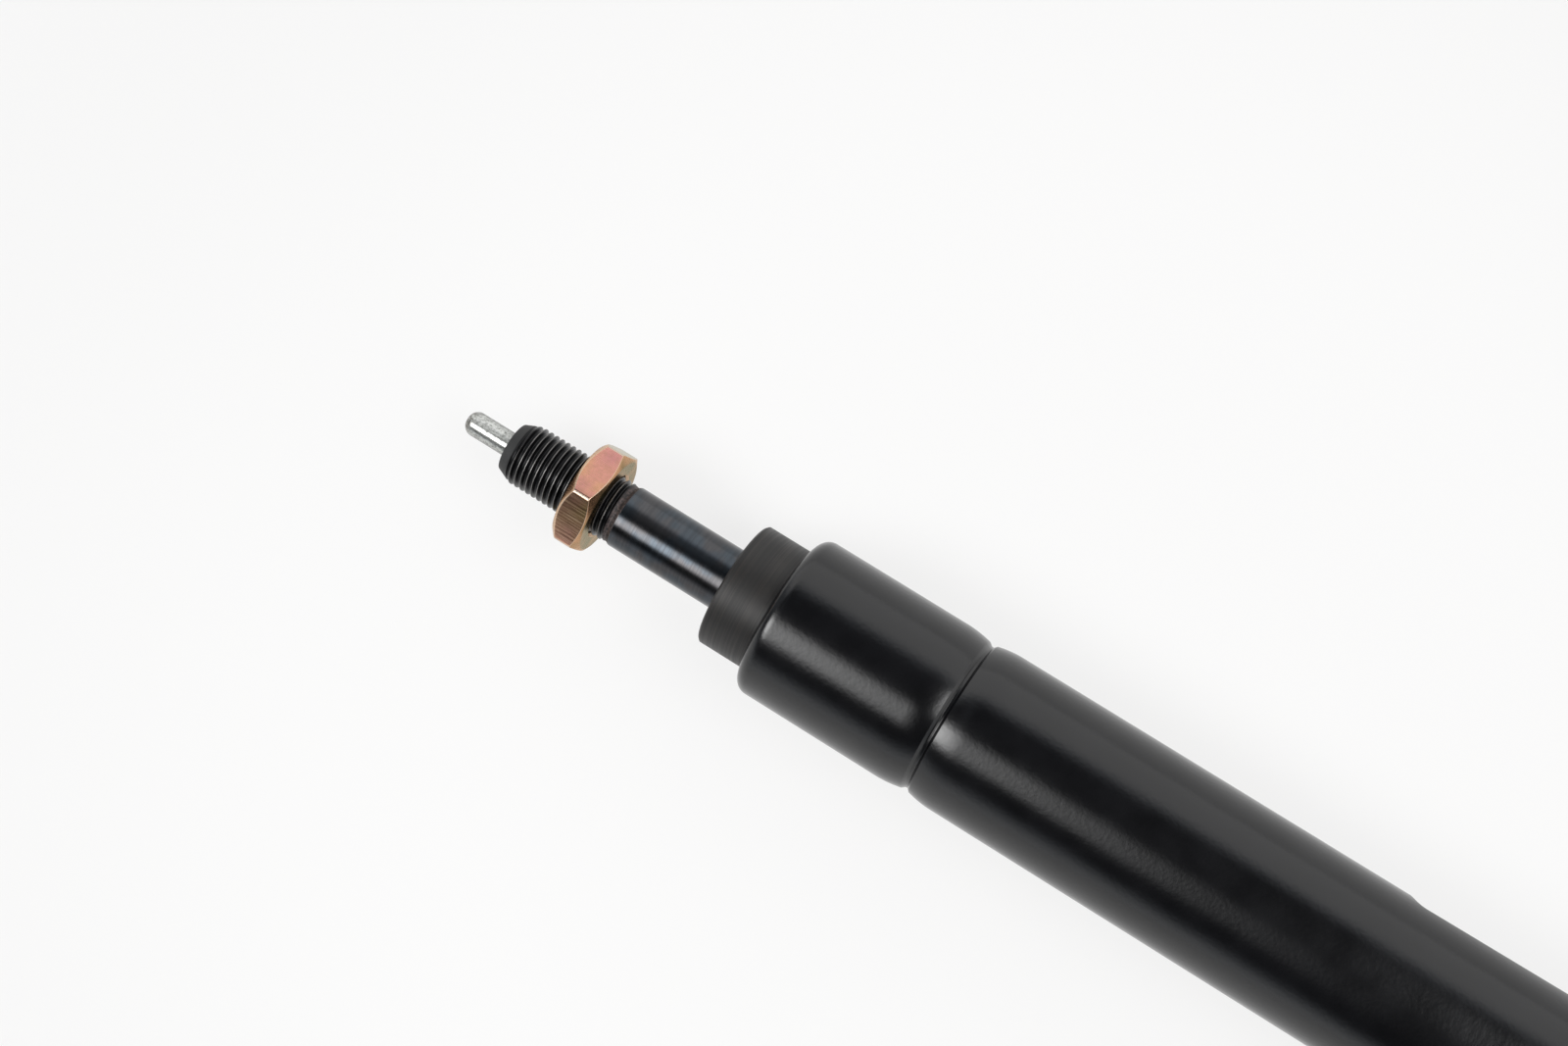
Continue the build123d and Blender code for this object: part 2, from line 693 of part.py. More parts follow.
with BuildPart() as eye_bush:
    with BuildSketch(Plane.XZ):
        Circle(EYE_HOLE)
        Circle(EYE_BUSH_BORE, mode=Mode.SUBTRACT)
    extrude(amount=EYE_BUSH_LENGTH / 2, both=True)

pieces = {
    "pressure_tube": pressure_tube,
    "guide_bush": guide_bush,
    "wiper_ring": wiper_ring,
    "rod_bearing": rod_bearing,
    "support_washer": support_washer,
    "rod_seal": rod_seal,
    "seal_energiser": seal_energiser,
    "seal_spacer": seal_spacer,
    "inner_guide": inner_guide,
    "guide_o_ring": guide_o_ring,
    "piston_rod": piston_rod,
    "rebound_buffer": rebound_buffer,
    "rebound_washer": rebound_washer,
    "piston_body": piston_body,
    "piston_seal": piston_seal,
    "piston_wear_ring": piston_wear_ring,
    "valve_sleeve": valve_sleeve,
    "valve_o_rings": valve_o_rings,
    "valve_retainer": valve_retainer,
    "release_pin": release_pin,
    "valve_stem": valve_stem,
    "jam_nut": jam_nut,
    "separating_piston": separating_piston,
    "separating_o_ring": separating_o_ring,
    "separating_wear_ring": separating_wear_ring,
    "end_plug": end_plug,
    "end_plug_o_ring": end_plug_o_ring,
    "rear_eye": rear_eye,
    "eye_bush": eye_bush,
}
for name, piece in pieces.items():
    piece.part.label = name
    export_step(piece.part, f"parts/{name}.step")

print("rod end", ROD_END, "nut", nut_rear, nut_front, "piston", piston_rear, buffer_front)
print("separator", separator_rear, separator_front, "plug front", plug_front)
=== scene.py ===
"""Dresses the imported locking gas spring: its visible pieces, their finishes, and the studio.

The spring lies along +X with its rear eye at the origin and its release pin at the far end.
Everything is in metres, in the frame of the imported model.
"""

import json
from math import asin, atan2, cos, hypot, pi, radians, sin, sqrt, tan

import bmesh
import bpy
from mathutils import Matrix, Vector


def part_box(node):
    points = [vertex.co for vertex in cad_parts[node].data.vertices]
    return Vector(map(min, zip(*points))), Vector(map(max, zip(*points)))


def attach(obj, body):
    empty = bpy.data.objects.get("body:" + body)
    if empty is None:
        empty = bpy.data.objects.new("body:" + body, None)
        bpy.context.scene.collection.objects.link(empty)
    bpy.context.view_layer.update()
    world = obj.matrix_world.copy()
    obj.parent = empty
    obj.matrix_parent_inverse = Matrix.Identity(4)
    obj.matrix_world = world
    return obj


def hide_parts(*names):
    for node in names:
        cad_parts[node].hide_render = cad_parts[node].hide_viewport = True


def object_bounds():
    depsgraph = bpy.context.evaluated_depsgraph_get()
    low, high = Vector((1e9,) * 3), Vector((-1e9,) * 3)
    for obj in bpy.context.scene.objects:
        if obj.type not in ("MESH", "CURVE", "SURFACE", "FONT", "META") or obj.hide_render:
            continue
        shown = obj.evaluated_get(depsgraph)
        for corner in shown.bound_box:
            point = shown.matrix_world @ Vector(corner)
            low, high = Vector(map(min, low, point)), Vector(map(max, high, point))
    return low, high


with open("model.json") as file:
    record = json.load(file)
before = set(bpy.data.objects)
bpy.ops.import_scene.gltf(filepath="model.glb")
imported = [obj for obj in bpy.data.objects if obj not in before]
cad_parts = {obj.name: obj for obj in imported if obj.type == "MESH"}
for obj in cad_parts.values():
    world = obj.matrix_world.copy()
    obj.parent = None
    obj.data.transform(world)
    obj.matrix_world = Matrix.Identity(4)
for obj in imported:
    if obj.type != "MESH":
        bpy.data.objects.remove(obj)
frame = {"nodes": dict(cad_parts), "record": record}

bl_info = {
    "name": "Locking gas spring",
    "version": (1, 0, 0),
    "blender": (4, 5, 0),
    "location": "3D View > Sidebar > Gas spring",
    "description": "Builds the visible pieces of a locking gas spring around its packed model",
    "category": "Add Mesh",
}

CAD_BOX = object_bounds()
MM = 0.001
WELD = 1e-6
SHARP_FROM = radians(42)
ROLL_STEPS = 14
THREAD_SEGMENTS = 112
THREAD_SIDE = ("End", "Radius", "Slope", "Plain")
BOX_DISTANCE = 0.86
FLOOR_REACH, FLOOR_MIDDLE = 3.0, 0.15


def ends(node):
    """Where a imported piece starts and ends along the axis."""
    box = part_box(node)
    return box[0].x, box[1].x


TUBE_REAR, MOUTH = ends("pressure_tube")
TUBE_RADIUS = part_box("pressure_tube")[1].z
BUSH_REAR, COLLAR_FRONT = ends("guide_bush")
WIPER_FOOT = ends("wiper_ring")[0]
ROD_START, ROD_END = ends("piston_rod")
WASHER_FRONT = ends("rebound_washer")[1]
PIN_REAR, PIN_TIP = ends("release_pin")
NUT_REAR, NUT_FRONT = ends("jam_nut")
BOSS_REAR, PLUG_FRONT = ends("end_plug")
EYE_RADIUS = -ends("rear_eye")[0]
LINER_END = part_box("eye_bush")[1].y


# ---- Sizes and colours ----


def length(name, default, description):
    """A length property whose default is given in millimetres."""
    return bpy.props.FloatProperty(
        name=name, description=description, default=default * MM, unit="LENGTH", precision=5
    )


def angle(name, default, description):
    """An angle property whose default is given in degrees."""
    return bpy.props.FloatProperty(
        name=name, description=description, default=radians(default), subtype="ANGLE"
    )


def colour(name, default, description):
    """A colour property."""
    return bpy.props.FloatVectorProperty(
        name=name, description=description, default=default, subtype="COLOR", size=3, min=0, max=1
    )


def number(name, default, description):
    """A plain number property."""
    return bpy.props.FloatProperty(name=name, description=description, default=default)


class SpringTubeSizes(bpy.types.PropertyGroup):
    """Sizes of the pressure tube and of the collar in its mouth."""

    wall: length("Wall", 1.5, "Thickness of the tube's wall")
    roll: length("Roll", 2.1, "Radius of the rolled edge at each end")
    mouth_lip: length("Mouth lip", 10.2, "Radius of the opening in the rolled mouth")
    rear_lip: length("Rear lip", 9.0, "Radius of the opening in the rolled rear edge")
    groove_from_mouth: length("Groove place", 30.0, "From the mouth to the groove's valley")
    groove_depth: length("Groove depth", 0.95, "Depth of the groove's valley")
    rear_reach: length("Rear reach", 4.3, "From the valley back to where the groove fades out")
    notch_rear: length("Notch rear", 0.30, "From the valley back to the notch's edge")
    notch_rear_depth: length("Notch rear depth", 0.50, "Depth of the notch's rear edge")
    notch_front: length("Notch front", 1.09, "From the valley forward to the notch's edge")
    notch_front_depth: length("Notch front depth", 0.50, "Depth of the notch's front edge")
    front_reach: length("Front reach", 5.3, "From the valley to where the groove fades out ahead")
    groove_reach: length("Bore groove reach", 4.0, "Reach of the groove in the bore, either way")
    kink_offset: length("Bore kink place", 0.7, "From the valley to the kink in the bore")
    kink_depth: length("Bore kink depth", 0.57, "Depth of the kink in the bore")
    flat_from_mouth: length("Flat place", 98.7, "From the mouth to the front of the flat")
    flat_length: length("Flat length", 60.0, "Length of the flat")
    flat_front_depth: length("Flat front depth", 0.50, "Depth of the flat at its front")
    flat_rear_depth: length("Flat rear depth", 0.05, "Depth of the flat at its rear")
    flat_front_run: length("Flat front run-out", 2.5, "Length of the flat's front run-out")
    flat_rear_run: length("Flat rear run-out", 0.8, "Length of the flat's rear run-out")
    collar_radius: length("Collar radius", 10.0, "Radius of the collar")
    collar_edge: length("Collar edge", 0.3, "Bevel of the collar's front edge")


class SpringRodSizes(bpy.types.PropertyGroup):
    """Sizes of the piston rod, its thread, and the release pin in it."""

    radius: length("Rod radius", 5.0, "Radius of the smooth rod")
    bore: length("Rod bore", 2.05, "Radius of the bore for the pin")
    spigot: length("Spigot radius", 4.0, "Radius of the rod's rear spigot")
    neck_from_end: length("Neck place", 19.60, "From the rod's end to the front of its neck")
    neck_length: length("Neck length", 0.30, "Length of the neck behind the thread")
    neck: length("Neck radius", 4.70, "Radius of the neck")
    shoulder_from_end: length("Shoulder place", 20.45, "From the rod's end to its full radius")
    pitch: length("Pitch", 1.0, "Pitch of the right-hand thread")
    crest: length("Thread crest", 4.94, "Radius of the thread's crest")
    root: length("Thread root", 4.385, "Radius of the thread's root")
    nose: length("Nose radius", 3.88, "Radius of the rod's end face")
    bevel_radius: length("Bevel radius", 4.75, "Radius at the rear of the end's bevel")
    bevel_length: length("Bevel length", 2.0, "Length of the end's bevel")
    pin: length("Pin radius", 1.95, "Radius of the release pin")
    pin_nose: length("Pin nose", 1.6, "Radius of the release pin's round nose")


class SpringNutSizes(bpy.types.PropertyGroup):
    """Sizes of the jam nut."""

    across_flats: length("Across flats", 16.0, "Width across the flats")
    bevel_radius: length("Bevel radius", 7.6, "Radius at which the corner bevel starts")
    rear_bevel: angle("Rear bevel", 30, "Angle between the corner bevel and the rear face")
    front_bevel: angle("Front bevel", 42, "Angle between the corner bevel and the front face")
    turn: angle("Turn", 3.1, "How far a corner stands from straight up, towards +Y")
    corner: length("Corner rounding", 0.8, "Rounding of the corners between the flats")
    edge: length("Edge softness", 0.14, "Softness of the edges of the corner bevels")
    bore: length("Bore radius", 4.99, "Radius of the thread's crests in the nut")
    groove: length("Bore groove radius", 5.14, "Radius of the thread's grooves in the nut")
    mouth: length("Mouth radius", 5.45, "Radius of the countersink at each face")


class SpringEyeSizes(bpy.types.PropertyGroup):
    """Sizes of the rear eye, its weld and the boss it stands on."""

    width: length("Eye width", 10.0, "Width of the eye along its bore")
    hole: length("Eye hole", 5.0, "Radius of the hole in the eye")
    edge: length("Eye edge", 0.5, "Bevel of the eye's edges")
    stem_slim: length("Stem front", 4.9, "Radius of the stem inside the eye")
    stem: length("Stem radius", 5.5, "Radius of the stem at the weld")
    liner_bore: length("Liner bore", 4.05, "Radius of the liner's bore")
    boss: length("Boss radius", 8.0, "Radius of the boss")
    bead_ring: length("Bead ring", 5.95, "Radius of the ring along which the weld bead runs")
    bead: length("Bead", 1.05, "Half thickness of the weld bead")
    ripples: bpy.props.IntProperty(
        name="Ripples", description="How many ripples the weld bead has", default=38, min=8
    )


class SpringFinishes(bpy.types.PropertyGroup):
    """Colours of the finishes."""

    paint: colour("Tube paint", (0.0018, 0.0018, 0.0022), "Semi-gloss black of the tube")
    blackened: colour("Collar", (0.0115, 0.0109, 0.0106), "Matte black of the turned collar")
    nitrided: colour("Rod", (0.069, 0.072, 0.079), "Dark nitrided surface of the rod")
    oxide: colour("Thread", (0.0065, 0.0065, 0.007), "Black oxide on the thread")
    zinc: colour("Pin", (0.45, 0.457, 0.435), "Bright zinc of the release pin")
    chromate_rose: colour("Nut rose", (0.57, 0.27, 0.21), "Rose tint of the nut's plating")
    chromate_gold: colour("Nut gold", (0.50, 0.30, 0.16), "Gold tint of the nut's plating")
    chromate_olive: colour("Nut olive", (0.46, 0.35, 0.18), "Olive tint of the nut's plating")


class SpringStudio(bpy.types.PropertyGroup):
    """The camera, the lights and the floor."""

    lens: number("Lens", 64.28, "Focal length in millimetres on a 36 mm wide sensor")
    eye: bpy.props.FloatVectorProperty(
        name="Camera place",
        description="Where the camera stands",
        default=(0.14123, -0.01155, 0.40944),
        subtype="TRANSLATION",
        unit="LENGTH",
    )
    tilt: angle("Camera tilt", 9.587, "Lean of the view from straight down, towards the pin")
    roll: angle("Camera roll", 31.4974, "How far the spring's axis slopes in the picture")
    key: number("Key light", 10.5, "Brightness of the soft box over the rod")
    rear: number("Rear light", 10.5, "Brightness of the soft box over the tube's rear")
    surround: number("Surround", 1.35, "Brightness of the pale surround")
    ceiling: number("Ceiling", 0.045, "Brightness of the dark ceiling")
    floor: colour("Floor", (0.13, 0.13, 0.13), "Colour of the floor's surface")
    floor_glow: number("Floor glow", 0.77, "Light that comes through the floor from below")


# ---- Meshes ----


def arc(centre, radius, start, end, steps=ROLL_STEPS):
    """Unrounded corners along an arc about a centre, its angles in degrees."""
    angles = [radians(start + (end - start) * step / steps) for step in range(steps + 1)]
    return [(centre[0] + radius * cos(a), centre[1] + radius * sin(a), 0) for a in angles]


def both_ways(corners):
    """Corners from the bore's middle outwards, and their mirror images on the way back."""
    return corners + [(-x, r, rounding) for x, r, rounding in reversed(corners)]


def soften(corners, steps=4):
    """An outline of (place, radius) points from (place, radius, rounding in mm) corners.

    Each rounded corner also gets a point close to it on either side, which keeps the shading
    of a long straight face even.
    """
    outline = []
    for index, (x, r, rounding) in enumerate(corners):
        if not rounding:
            outline.append((x, r))
            continue
        here = Vector((x, r))
        back = Vector(corners[index - 1][:2]) - here
        ahead = Vector(corners[(index + 1) % len(corners)][:2]) - here
        half = back.angle(ahead) / 2
        reach = min(rounding * MM / tan(half), 0.4 * back.length, 0.4 * ahead.length)
        back.normalize()
        ahead.normalize()
        centre = here + (back + ahead).normalized() * reach * tan(half) / sin(half)
        first = here + back * reach - centre
        last = here + ahead * reach - centre
        sweep = atan2(first.cross(last), first.dot(last))
        outline.append(tuple(centre + first + back * reach * 0.2))
        for step in range(steps + 1):
            a = sweep * step / steps
            turn = Matrix(((cos(a), -sin(a)), (sin(a), cos(a))))
            outline.append(tuple(centre + turn @ first))
        outline.append(tuple(centre + last + ahead * reach * 0.2))
    return outline


def round_about(count):
    """Even angles all the way round the axis."""
    return [2 * pi * step / count for step in range(count)]


def ring_of(bm, points):
    """Corners at (place, radius, angle) points about the X axis."""
    return [bm.verts.new((x, r * cos(a), r * sin(a))) for x, r, a in points]


def band(bm, first, second):
    """Faces between two rings of corners, either of which may be one point over and over."""
    for step in range(len(first)):
        after = (step + 1) % len(first)
        corners = dict.fromkeys((first[step], first[after], second[after], second[step]))
        if len(corners) > 2:
            bm.faces.new(list(corners))


def turned(name, corners, angles, closed=True, across=False):
    """A piece turned about the X axis, or about the Y axis where it lies across.

    Its angles are given one by one, or as the number of even steps.
    """
    if isinstance(angles, int):
        angles = round_about(angles)
    bm = bmesh.new()
    rings = []
    for x, r in soften(corners):
        if r < WELD:
            rings.append([bm.verts.new((x, 0, 0))] * len(angles))
        else:
            rings.append(ring_of(bm, ((x, r, a) for a in angles)))
    for first, second in zip(rings, rings[1:] + rings[:1] if closed else rings[1:]):
        band(bm, first, second)
    if across:
        bmesh.ops.transform(bm, matrix=Matrix.Rotation(pi / 2, 4, "Z"), verts=bm.verts)
    return finished_mesh(name, bm)


def finished_mesh(name, bm):
    """Turns a bmesh into an object whose faces point outwards."""
    bmesh.ops.recalc_face_normals(bm, faces=bm.faces)
    mesh = bpy.data.meshes.new(name)
    bm.to_mesh(mesh)
    bm.free()
    piece = bpy.data.objects.new(name, mesh)
    bpy.context.scene.collection.objects.link(piece)
    return piece


def settle(piece, body, slot, *replaced, finish=None):
    """Shades a finished piece, gives it its finish, and ties it to the frame."""
    piece.data.materials.clear()
    piece.data.materials.append(finish_for(finish or slot))
    piece.data.shade_smooth()
    piece.data.set_sharp_from_angle(angle=SHARP_FROM)
    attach(piece, body)
    if replaced:
        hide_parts(*replaced)


# ---- Node trees ----


class Level:
    """A socket of a node; arithmetic on it adds maths nodes to its tree."""

    def __init__(self, nodes, socket):
        self.nodes, self.socket = nodes, socket

    def __add__(self, other):
        return self.nodes.math("ADD", self, other)

    def __sub__(self, other):
        return self.nodes.math("SUBTRACT", self, other)

    def __rsub__(self, other):
        return self.nodes.math("SUBTRACT", other, self)

    def __mul__(self, other):
        return self.nodes.math("MULTIPLY", self, other)

    def __truediv__(self, other):
        return self.nodes.math("DIVIDE", self, other)


def opaque(value):
    """A colour with its alpha; a level or a number stays as it is."""
    return value if isinstance(value, (Level, float, int)) else (*value[:3], 1)


def scaled(tone, *factors):
    """A colour times one factor, or times one factor for each channel."""
    return [c * factor for c, factor in zip(tone, factors * 3)]


class Nodes:
    """Adds nodes to a tree and wires them up."""

    def __init__(self, tree):
        self.tree = tree

    def feed(self, socket, value):
        """Links a socket to a level, or sets it."""
        if isinstance(value, Level):
            self.tree.links.new(value.socket, socket)
        else:
            socket.default_value = value

    def add(self, kind, values=None, **settings):
        """Adds a node, sets its properties, and links or fills its inputs."""
        node = self.tree.nodes.new(kind)
        for name, value in settings.items():
            setattr(node, name, value)
        for key, value in (values or {}).items():
            self.feed(node.inputs[key], value)
        return node

    def get(self, kind, values=None, output=0, **settings):
        """One output of a new node."""
        return Level(self, self.add(kind, values, **settings).outputs[output])

    def math(self, operation, *values, clamp=False):
        """A maths node's result."""
        given = dict(enumerate(values))
        return self.get("ShaderNodeMath", given, operation=operation, use_clamp=clamp)

    def split(self, vector):
        """The three parts of a vector."""
        parts = self.add("ShaderNodeSeparateXYZ", {0: vector}).outputs
        return [Level(self, part) for part in parts]

    def join(self, **parts):
        """A vector from some of its parts."""
        return self.get("ShaderNodeCombineXYZ", parts)

    def ramp(self, value, low, high, start=0.0, end=1.0, kind="SMOOTHSTEP"):
        """Maps a value from one range to another, gently at both ends."""
        given = {"Value": value, "From Min": low, "From Max": high, "To Min": start, "To Max": end}
        return self.get("ShaderNodeMapRange", given, "Result", interpolation_type=kind)

    def mix(self, share, first, second, kind="MIX"):
        """Mixes two colours."""
        given = {0: share, 6: opaque(first), 7: opaque(second)}
        return self.get("ShaderNodeMix", given, 2, data_type="RGBA", blend_type=kind)


class Finish(Nodes):
    """A material in the making, with the place on the piece that its patterns read."""

    def __init__(self, name):
        self.material = bpy.data.materials.new(name)
        self.material.use_nodes = True
        super().__init__(self.material.node_tree)
        self.place = self.get("ShaderNodeTexCoord", output="Object")

    def grain(self, scale, detail=2, roughness=0.5):
        """Noise on the piece's own place, with a scale for each axis where it runs one way."""
        stretch, scale = (scale, 1) if isinstance(scale, tuple) else ((1, 1, 1), scale)
        mapped = self.get("ShaderNodeMapping", {"Vector": self.place, "Scale": stretch})
        given = {"Vector": mapped, "Scale": scale, "Detail": detail, "Roughness": roughness}
        return self.get("ShaderNodeTexNoise", given, "Fac")

    def fill(self, **given):
        """Links the shader's inputs to levels, or sets plain numbers and colours on them."""
        shader = self.tree.nodes["Principled BSDF"]
        for name, value in given.items():
            self.feed(shader.inputs[name.replace("_", " ")], opaque(value))

    def coat(self, shade, gloss, *dents, **more):
        """Fills the shader, with (height, strength, depth in mm) dents chained into one bump."""
        bump = {}
        for height, strength, depth in dents:
            given = {"Height": height, "Strength": strength, "Distance": depth * MM}
            bump["Normal"] = self.get("ShaderNodeBump", {**given, **bump})
        self.fill(Base_Color=shade, Roughness=gloss, **bump, **more)


def new_tree(name, **inputs):
    """A geometry node tree's nodes and its named inputs, given as names for each kind."""
    tree = bpy.data.node_groups.new(name, "GeometryNodeTree")
    face = tree.interface
    for kind, names in inputs.items():
        for entry in names:
            face.new_socket(entry, in_out="INPUT", socket_type="NodeSocket" + kind)
    face.new_socket("Geometry", in_out="OUTPUT", socket_type="NodeSocketGeometry")
    nodes = Nodes(tree)
    entries = tree.nodes.new("NodeGroupInput").outputs
    return nodes, {entry.name: Level(nodes, entry) for entry in entries if entry.name}


def end_tree(nodes, shape, finish):
    """Ends a geometry node tree with its instances made real and its finish on them."""
    real = nodes.get("GeometryNodeRealizeInstances", {0: shape})
    coated = nodes.get("GeometryNodeSetMaterial", {"Geometry": real, "Material": finish})
    nodes.add("NodeGroupOutput", {0: coated})
    return nodes.tree


def screw_thread_tree():
    """Geometry nodes that cut a right-hand thread along X and weld it into a body's open rims.

    The surface is a grid that is skewed by one pitch for each turn, so its rows run along the
    helix and its two side edges meet. It starts two turns early and ends late enough for every
    column to reach both ends, and what lies past an end is pulled back to it.
    """
    sides = [f"{side} {name}" for side in ("Low", "High") for name in THREAD_SIDE]
    n, given = new_tree(
        "Screw thread",
        Geometry=("Body",),
        Float=("Pitch", "Crest Radius", "Root Radius", *sides, "Fade", "Shift"),
        Int=("Segments", "Steps"),
        Bool=("Inside",),
        Material=("Finish",),
    )
    low, high, pitch, crest = (given[k] for k in ("Low End", "High End", "Pitch", "Crest Radius"))
    segments, steps, fade = given["Segments"], given["Steps"], given["Fade"]
    rows = n.math("CEIL", ((high - low) / pitch + 3) * steps)
    size = {"Size X": 1.0, "Size Y": 1.0, "Vertices X": segments + 1, "Vertices Y": rows + 1}
    grid = n.get("GeometryNodeMeshGrid", size, "Mesh")
    spot = n.split(n.get("GeometryNodeInputPosition"))
    row = n.math("ROUND", (spot[1] + 0.5) * rows)
    turn = n.math("ROUND", (spot[0] + 0.5) * segments) / segments
    along = (row / steps + turn) * pitch + (low - pitch * 2 + given["Shift"])
    along = n.math("MAXIMUM", n.math("MINIMUM", along, high), low)

    # Height of the thread's profile, with a narrow crest and a root that is a little wider
    phase = n.math("MODULO", row, steps) / steps
    flank, falls_until, rises_from = 0.36, 0.48, 0.64
    height = n.math("MAXIMUM", (falls_until - phase) / flank, (phase - rises_from) / flank)
    height = n.math("MINIMUM", n.math("MAXIMUM", height, 0.0), 1.0)
    height = height * 0.85 + n.ramp(height, 0.0, 1.0) * 0.15

    from_low, from_high = along - low, high - along
    low_fade = n.ramp(from_low - given["Low Plain"], 0.0, fade)
    high_fade = n.ramp(from_high - given["High Plain"], 0.0, fade)
    depth = (crest - given["Root Radius"]) * ((1 - height) * (low_fade * high_fade))
    low_cone = from_low * given["Low Slope"] + given["Low Radius"]
    high_cone = from_high * given["High Slope"] + given["High Radius"]
    inside, radius = given["Inside"], crest - depth
    outer = n.math("MINIMUM", radius, n.math("MINIMUM", low_cone, high_cone))
    inner = n.math("MAXIMUM", radius, n.math("MAXIMUM", low_cone, high_cone))
    radius = n.get("GeometryNodeSwitch", {0: inside, 1: outer, 2: inner}, input_type="FLOAT")
    around = turn * (2 * pi)
    point = n.join(X=along, Y=radius * n.math("COSINE", around), Z=radius * n.math("SINE", around))
    surface = n.get("GeometryNodeSetPosition", {"Geometry": grid, "Position": point})
    surface = n.get("GeometryNodeFlipFaces", {"Mesh": surface, "Selection": inside})
    joined = n.add("GeometryNodeJoinGeometry")
    for part in (given["Body"], surface):
        n.feed(joined.inputs[0], part)
    whole = Level(n, joined.outputs[0])
    welded = n.get("GeometryNodeMergeByDistance", {"Geometry": whole, "Distance": WELD})
    return end_tree(n, welded, given["Finish"])


def weld_bead_tree():
    """Geometry nodes that lay overlapping ripples round a joint, as a weld bead does."""
    n, given = new_tree(
        "Weld bead",
        Float=("Place", "Ring Radius", "Bead Radius", "Unevenness"),
        Int=("Ripples", "Seed"),
        Material=("Finish",),
    )
    ring = n.get("GeometryNodeCurvePrimitiveCircle", {"Radius": given["Ring Radius"]})
    spots = n.add("GeometryNodeCurveToPoints", {"Curve": ring, "Count": given["Ripples"]}).outputs
    points, facing = Level(n, spots["Points"]), Level(n, spots["Rotation"])
    drop = {"Segments": 20, "Rings": 12, "Radius": given["Bead Radius"]}
    drop = n.get("GeometryNodeMeshUVSphere", drop, "Mesh")
    drop = n.get("GeometryNodeTransform", {"Geometry": drop, "Scale": (1.0, 1.05, 0.62)})
    uneven = given["Unevenness"]
    size = {2: 1 - uneven, 3: uneven + 1, "Seed": given["Seed"]}
    size = n.get("FunctionNodeRandomValue", size, 1, data_type="FLOAT")
    laid = {"Points": points, "Instance": drop, "Rotation": facing, "Scale": size}
    laid = n.get("GeometryNodeInstanceOnPoints", laid)
    stood = {"Geometry": laid, "Translation": n.join(X=given["Place"]), "Rotation": (0, pi / 2, 0)}
    return end_tree(n, n.get("GeometryNodeTransform", stood), given["Finish"])


def run_tree(piece, tree, **given):
    """Runs a geometry node tree, its inputs named by its sockets, and keeps the plain mesh."""
    modifier = piece.modifiers.new(tree.name, "NODES")
    modifier.node_group = tree
    sockets = {s.name: s.identifier for s in tree.interface.items_tree if s.in_out == "INPUT"}
    for name, value in given.items():
        modifier[sockets[name.replace("_", " ")]] = value
    bpy.context.view_layer.update()
    seen = piece.evaluated_get(bpy.context.evaluated_depsgraph_get())
    mesh = bpy.data.meshes.new_from_object(seen)
    piece.modifiers.clear()
    piece.data = mesh
    mesh.name = piece.name


def cut_thread(piece, slot, pitch, radii, low, high, **more):
    """Cuts a thread with (crest, root) radii between a low and a high end, each of them given
    as its place, the radius and slope of the cone it starts on, and its length without thread.
    """
    given = {"Pitch": pitch, "Crest_Radius": radii[0], "Root_Radius": radii[1], "Fade": 0.4 * MM}
    for side, row in (("Low", low), ("High", high)):
        given |= {f"{side}_{name}": value for name, value in zip(THREAD_SIDE, row)}
    given |= {"Segments": THREAD_SEGMENTS, "Finish": finish_for(slot), **more}
    run_tree(piece, screw_thread_tree(), **given)


# ---- Finishes ----


def tube_paint(f, tones):
    """Semi-gloss black powder paint: a fine orange peel and a slightly uneven gloss."""
    cloud = f.grain(160, 3)
    shade = f.mix(f.ramp(cloud, 0.3, 0.7), tones.paint, scaled(tones.paint, 1.6))
    gloss = f.ramp(cloud, 0.25, 0.75, 0.18, 0.215)
    f.coat(shade, gloss, (f.grain(1500, 1), 0.45, 0.03), (f.grain(5200, 1), 0.40, 0.008), IOR=1.51)


def black_turned(f, tones):
    """Matte black collar with the fine rings that turning leaves."""
    rings, cloud = f.grain((4200, 30, 30), 3, 0.7), f.grain(420, 4)
    warm = scaled(tones.blackened, 1.5, 1.35, 1.25)
    shade = f.mix(f.ramp(rings, 0.42, 0.66), scaled(tones.blackened, 0.7), warm)
    shade = f.mix(f.ramp(cloud, 0.55, 0.75, 0, 0.4), shade, warm)
    gloss = f.ramp(rings, 0.42, 0.60, 0.48, 0.40)
    f.coat(shade, gloss, (rings, 0.4, 0.015), (cloud, 0.05, 0.01), IOR=1.42)


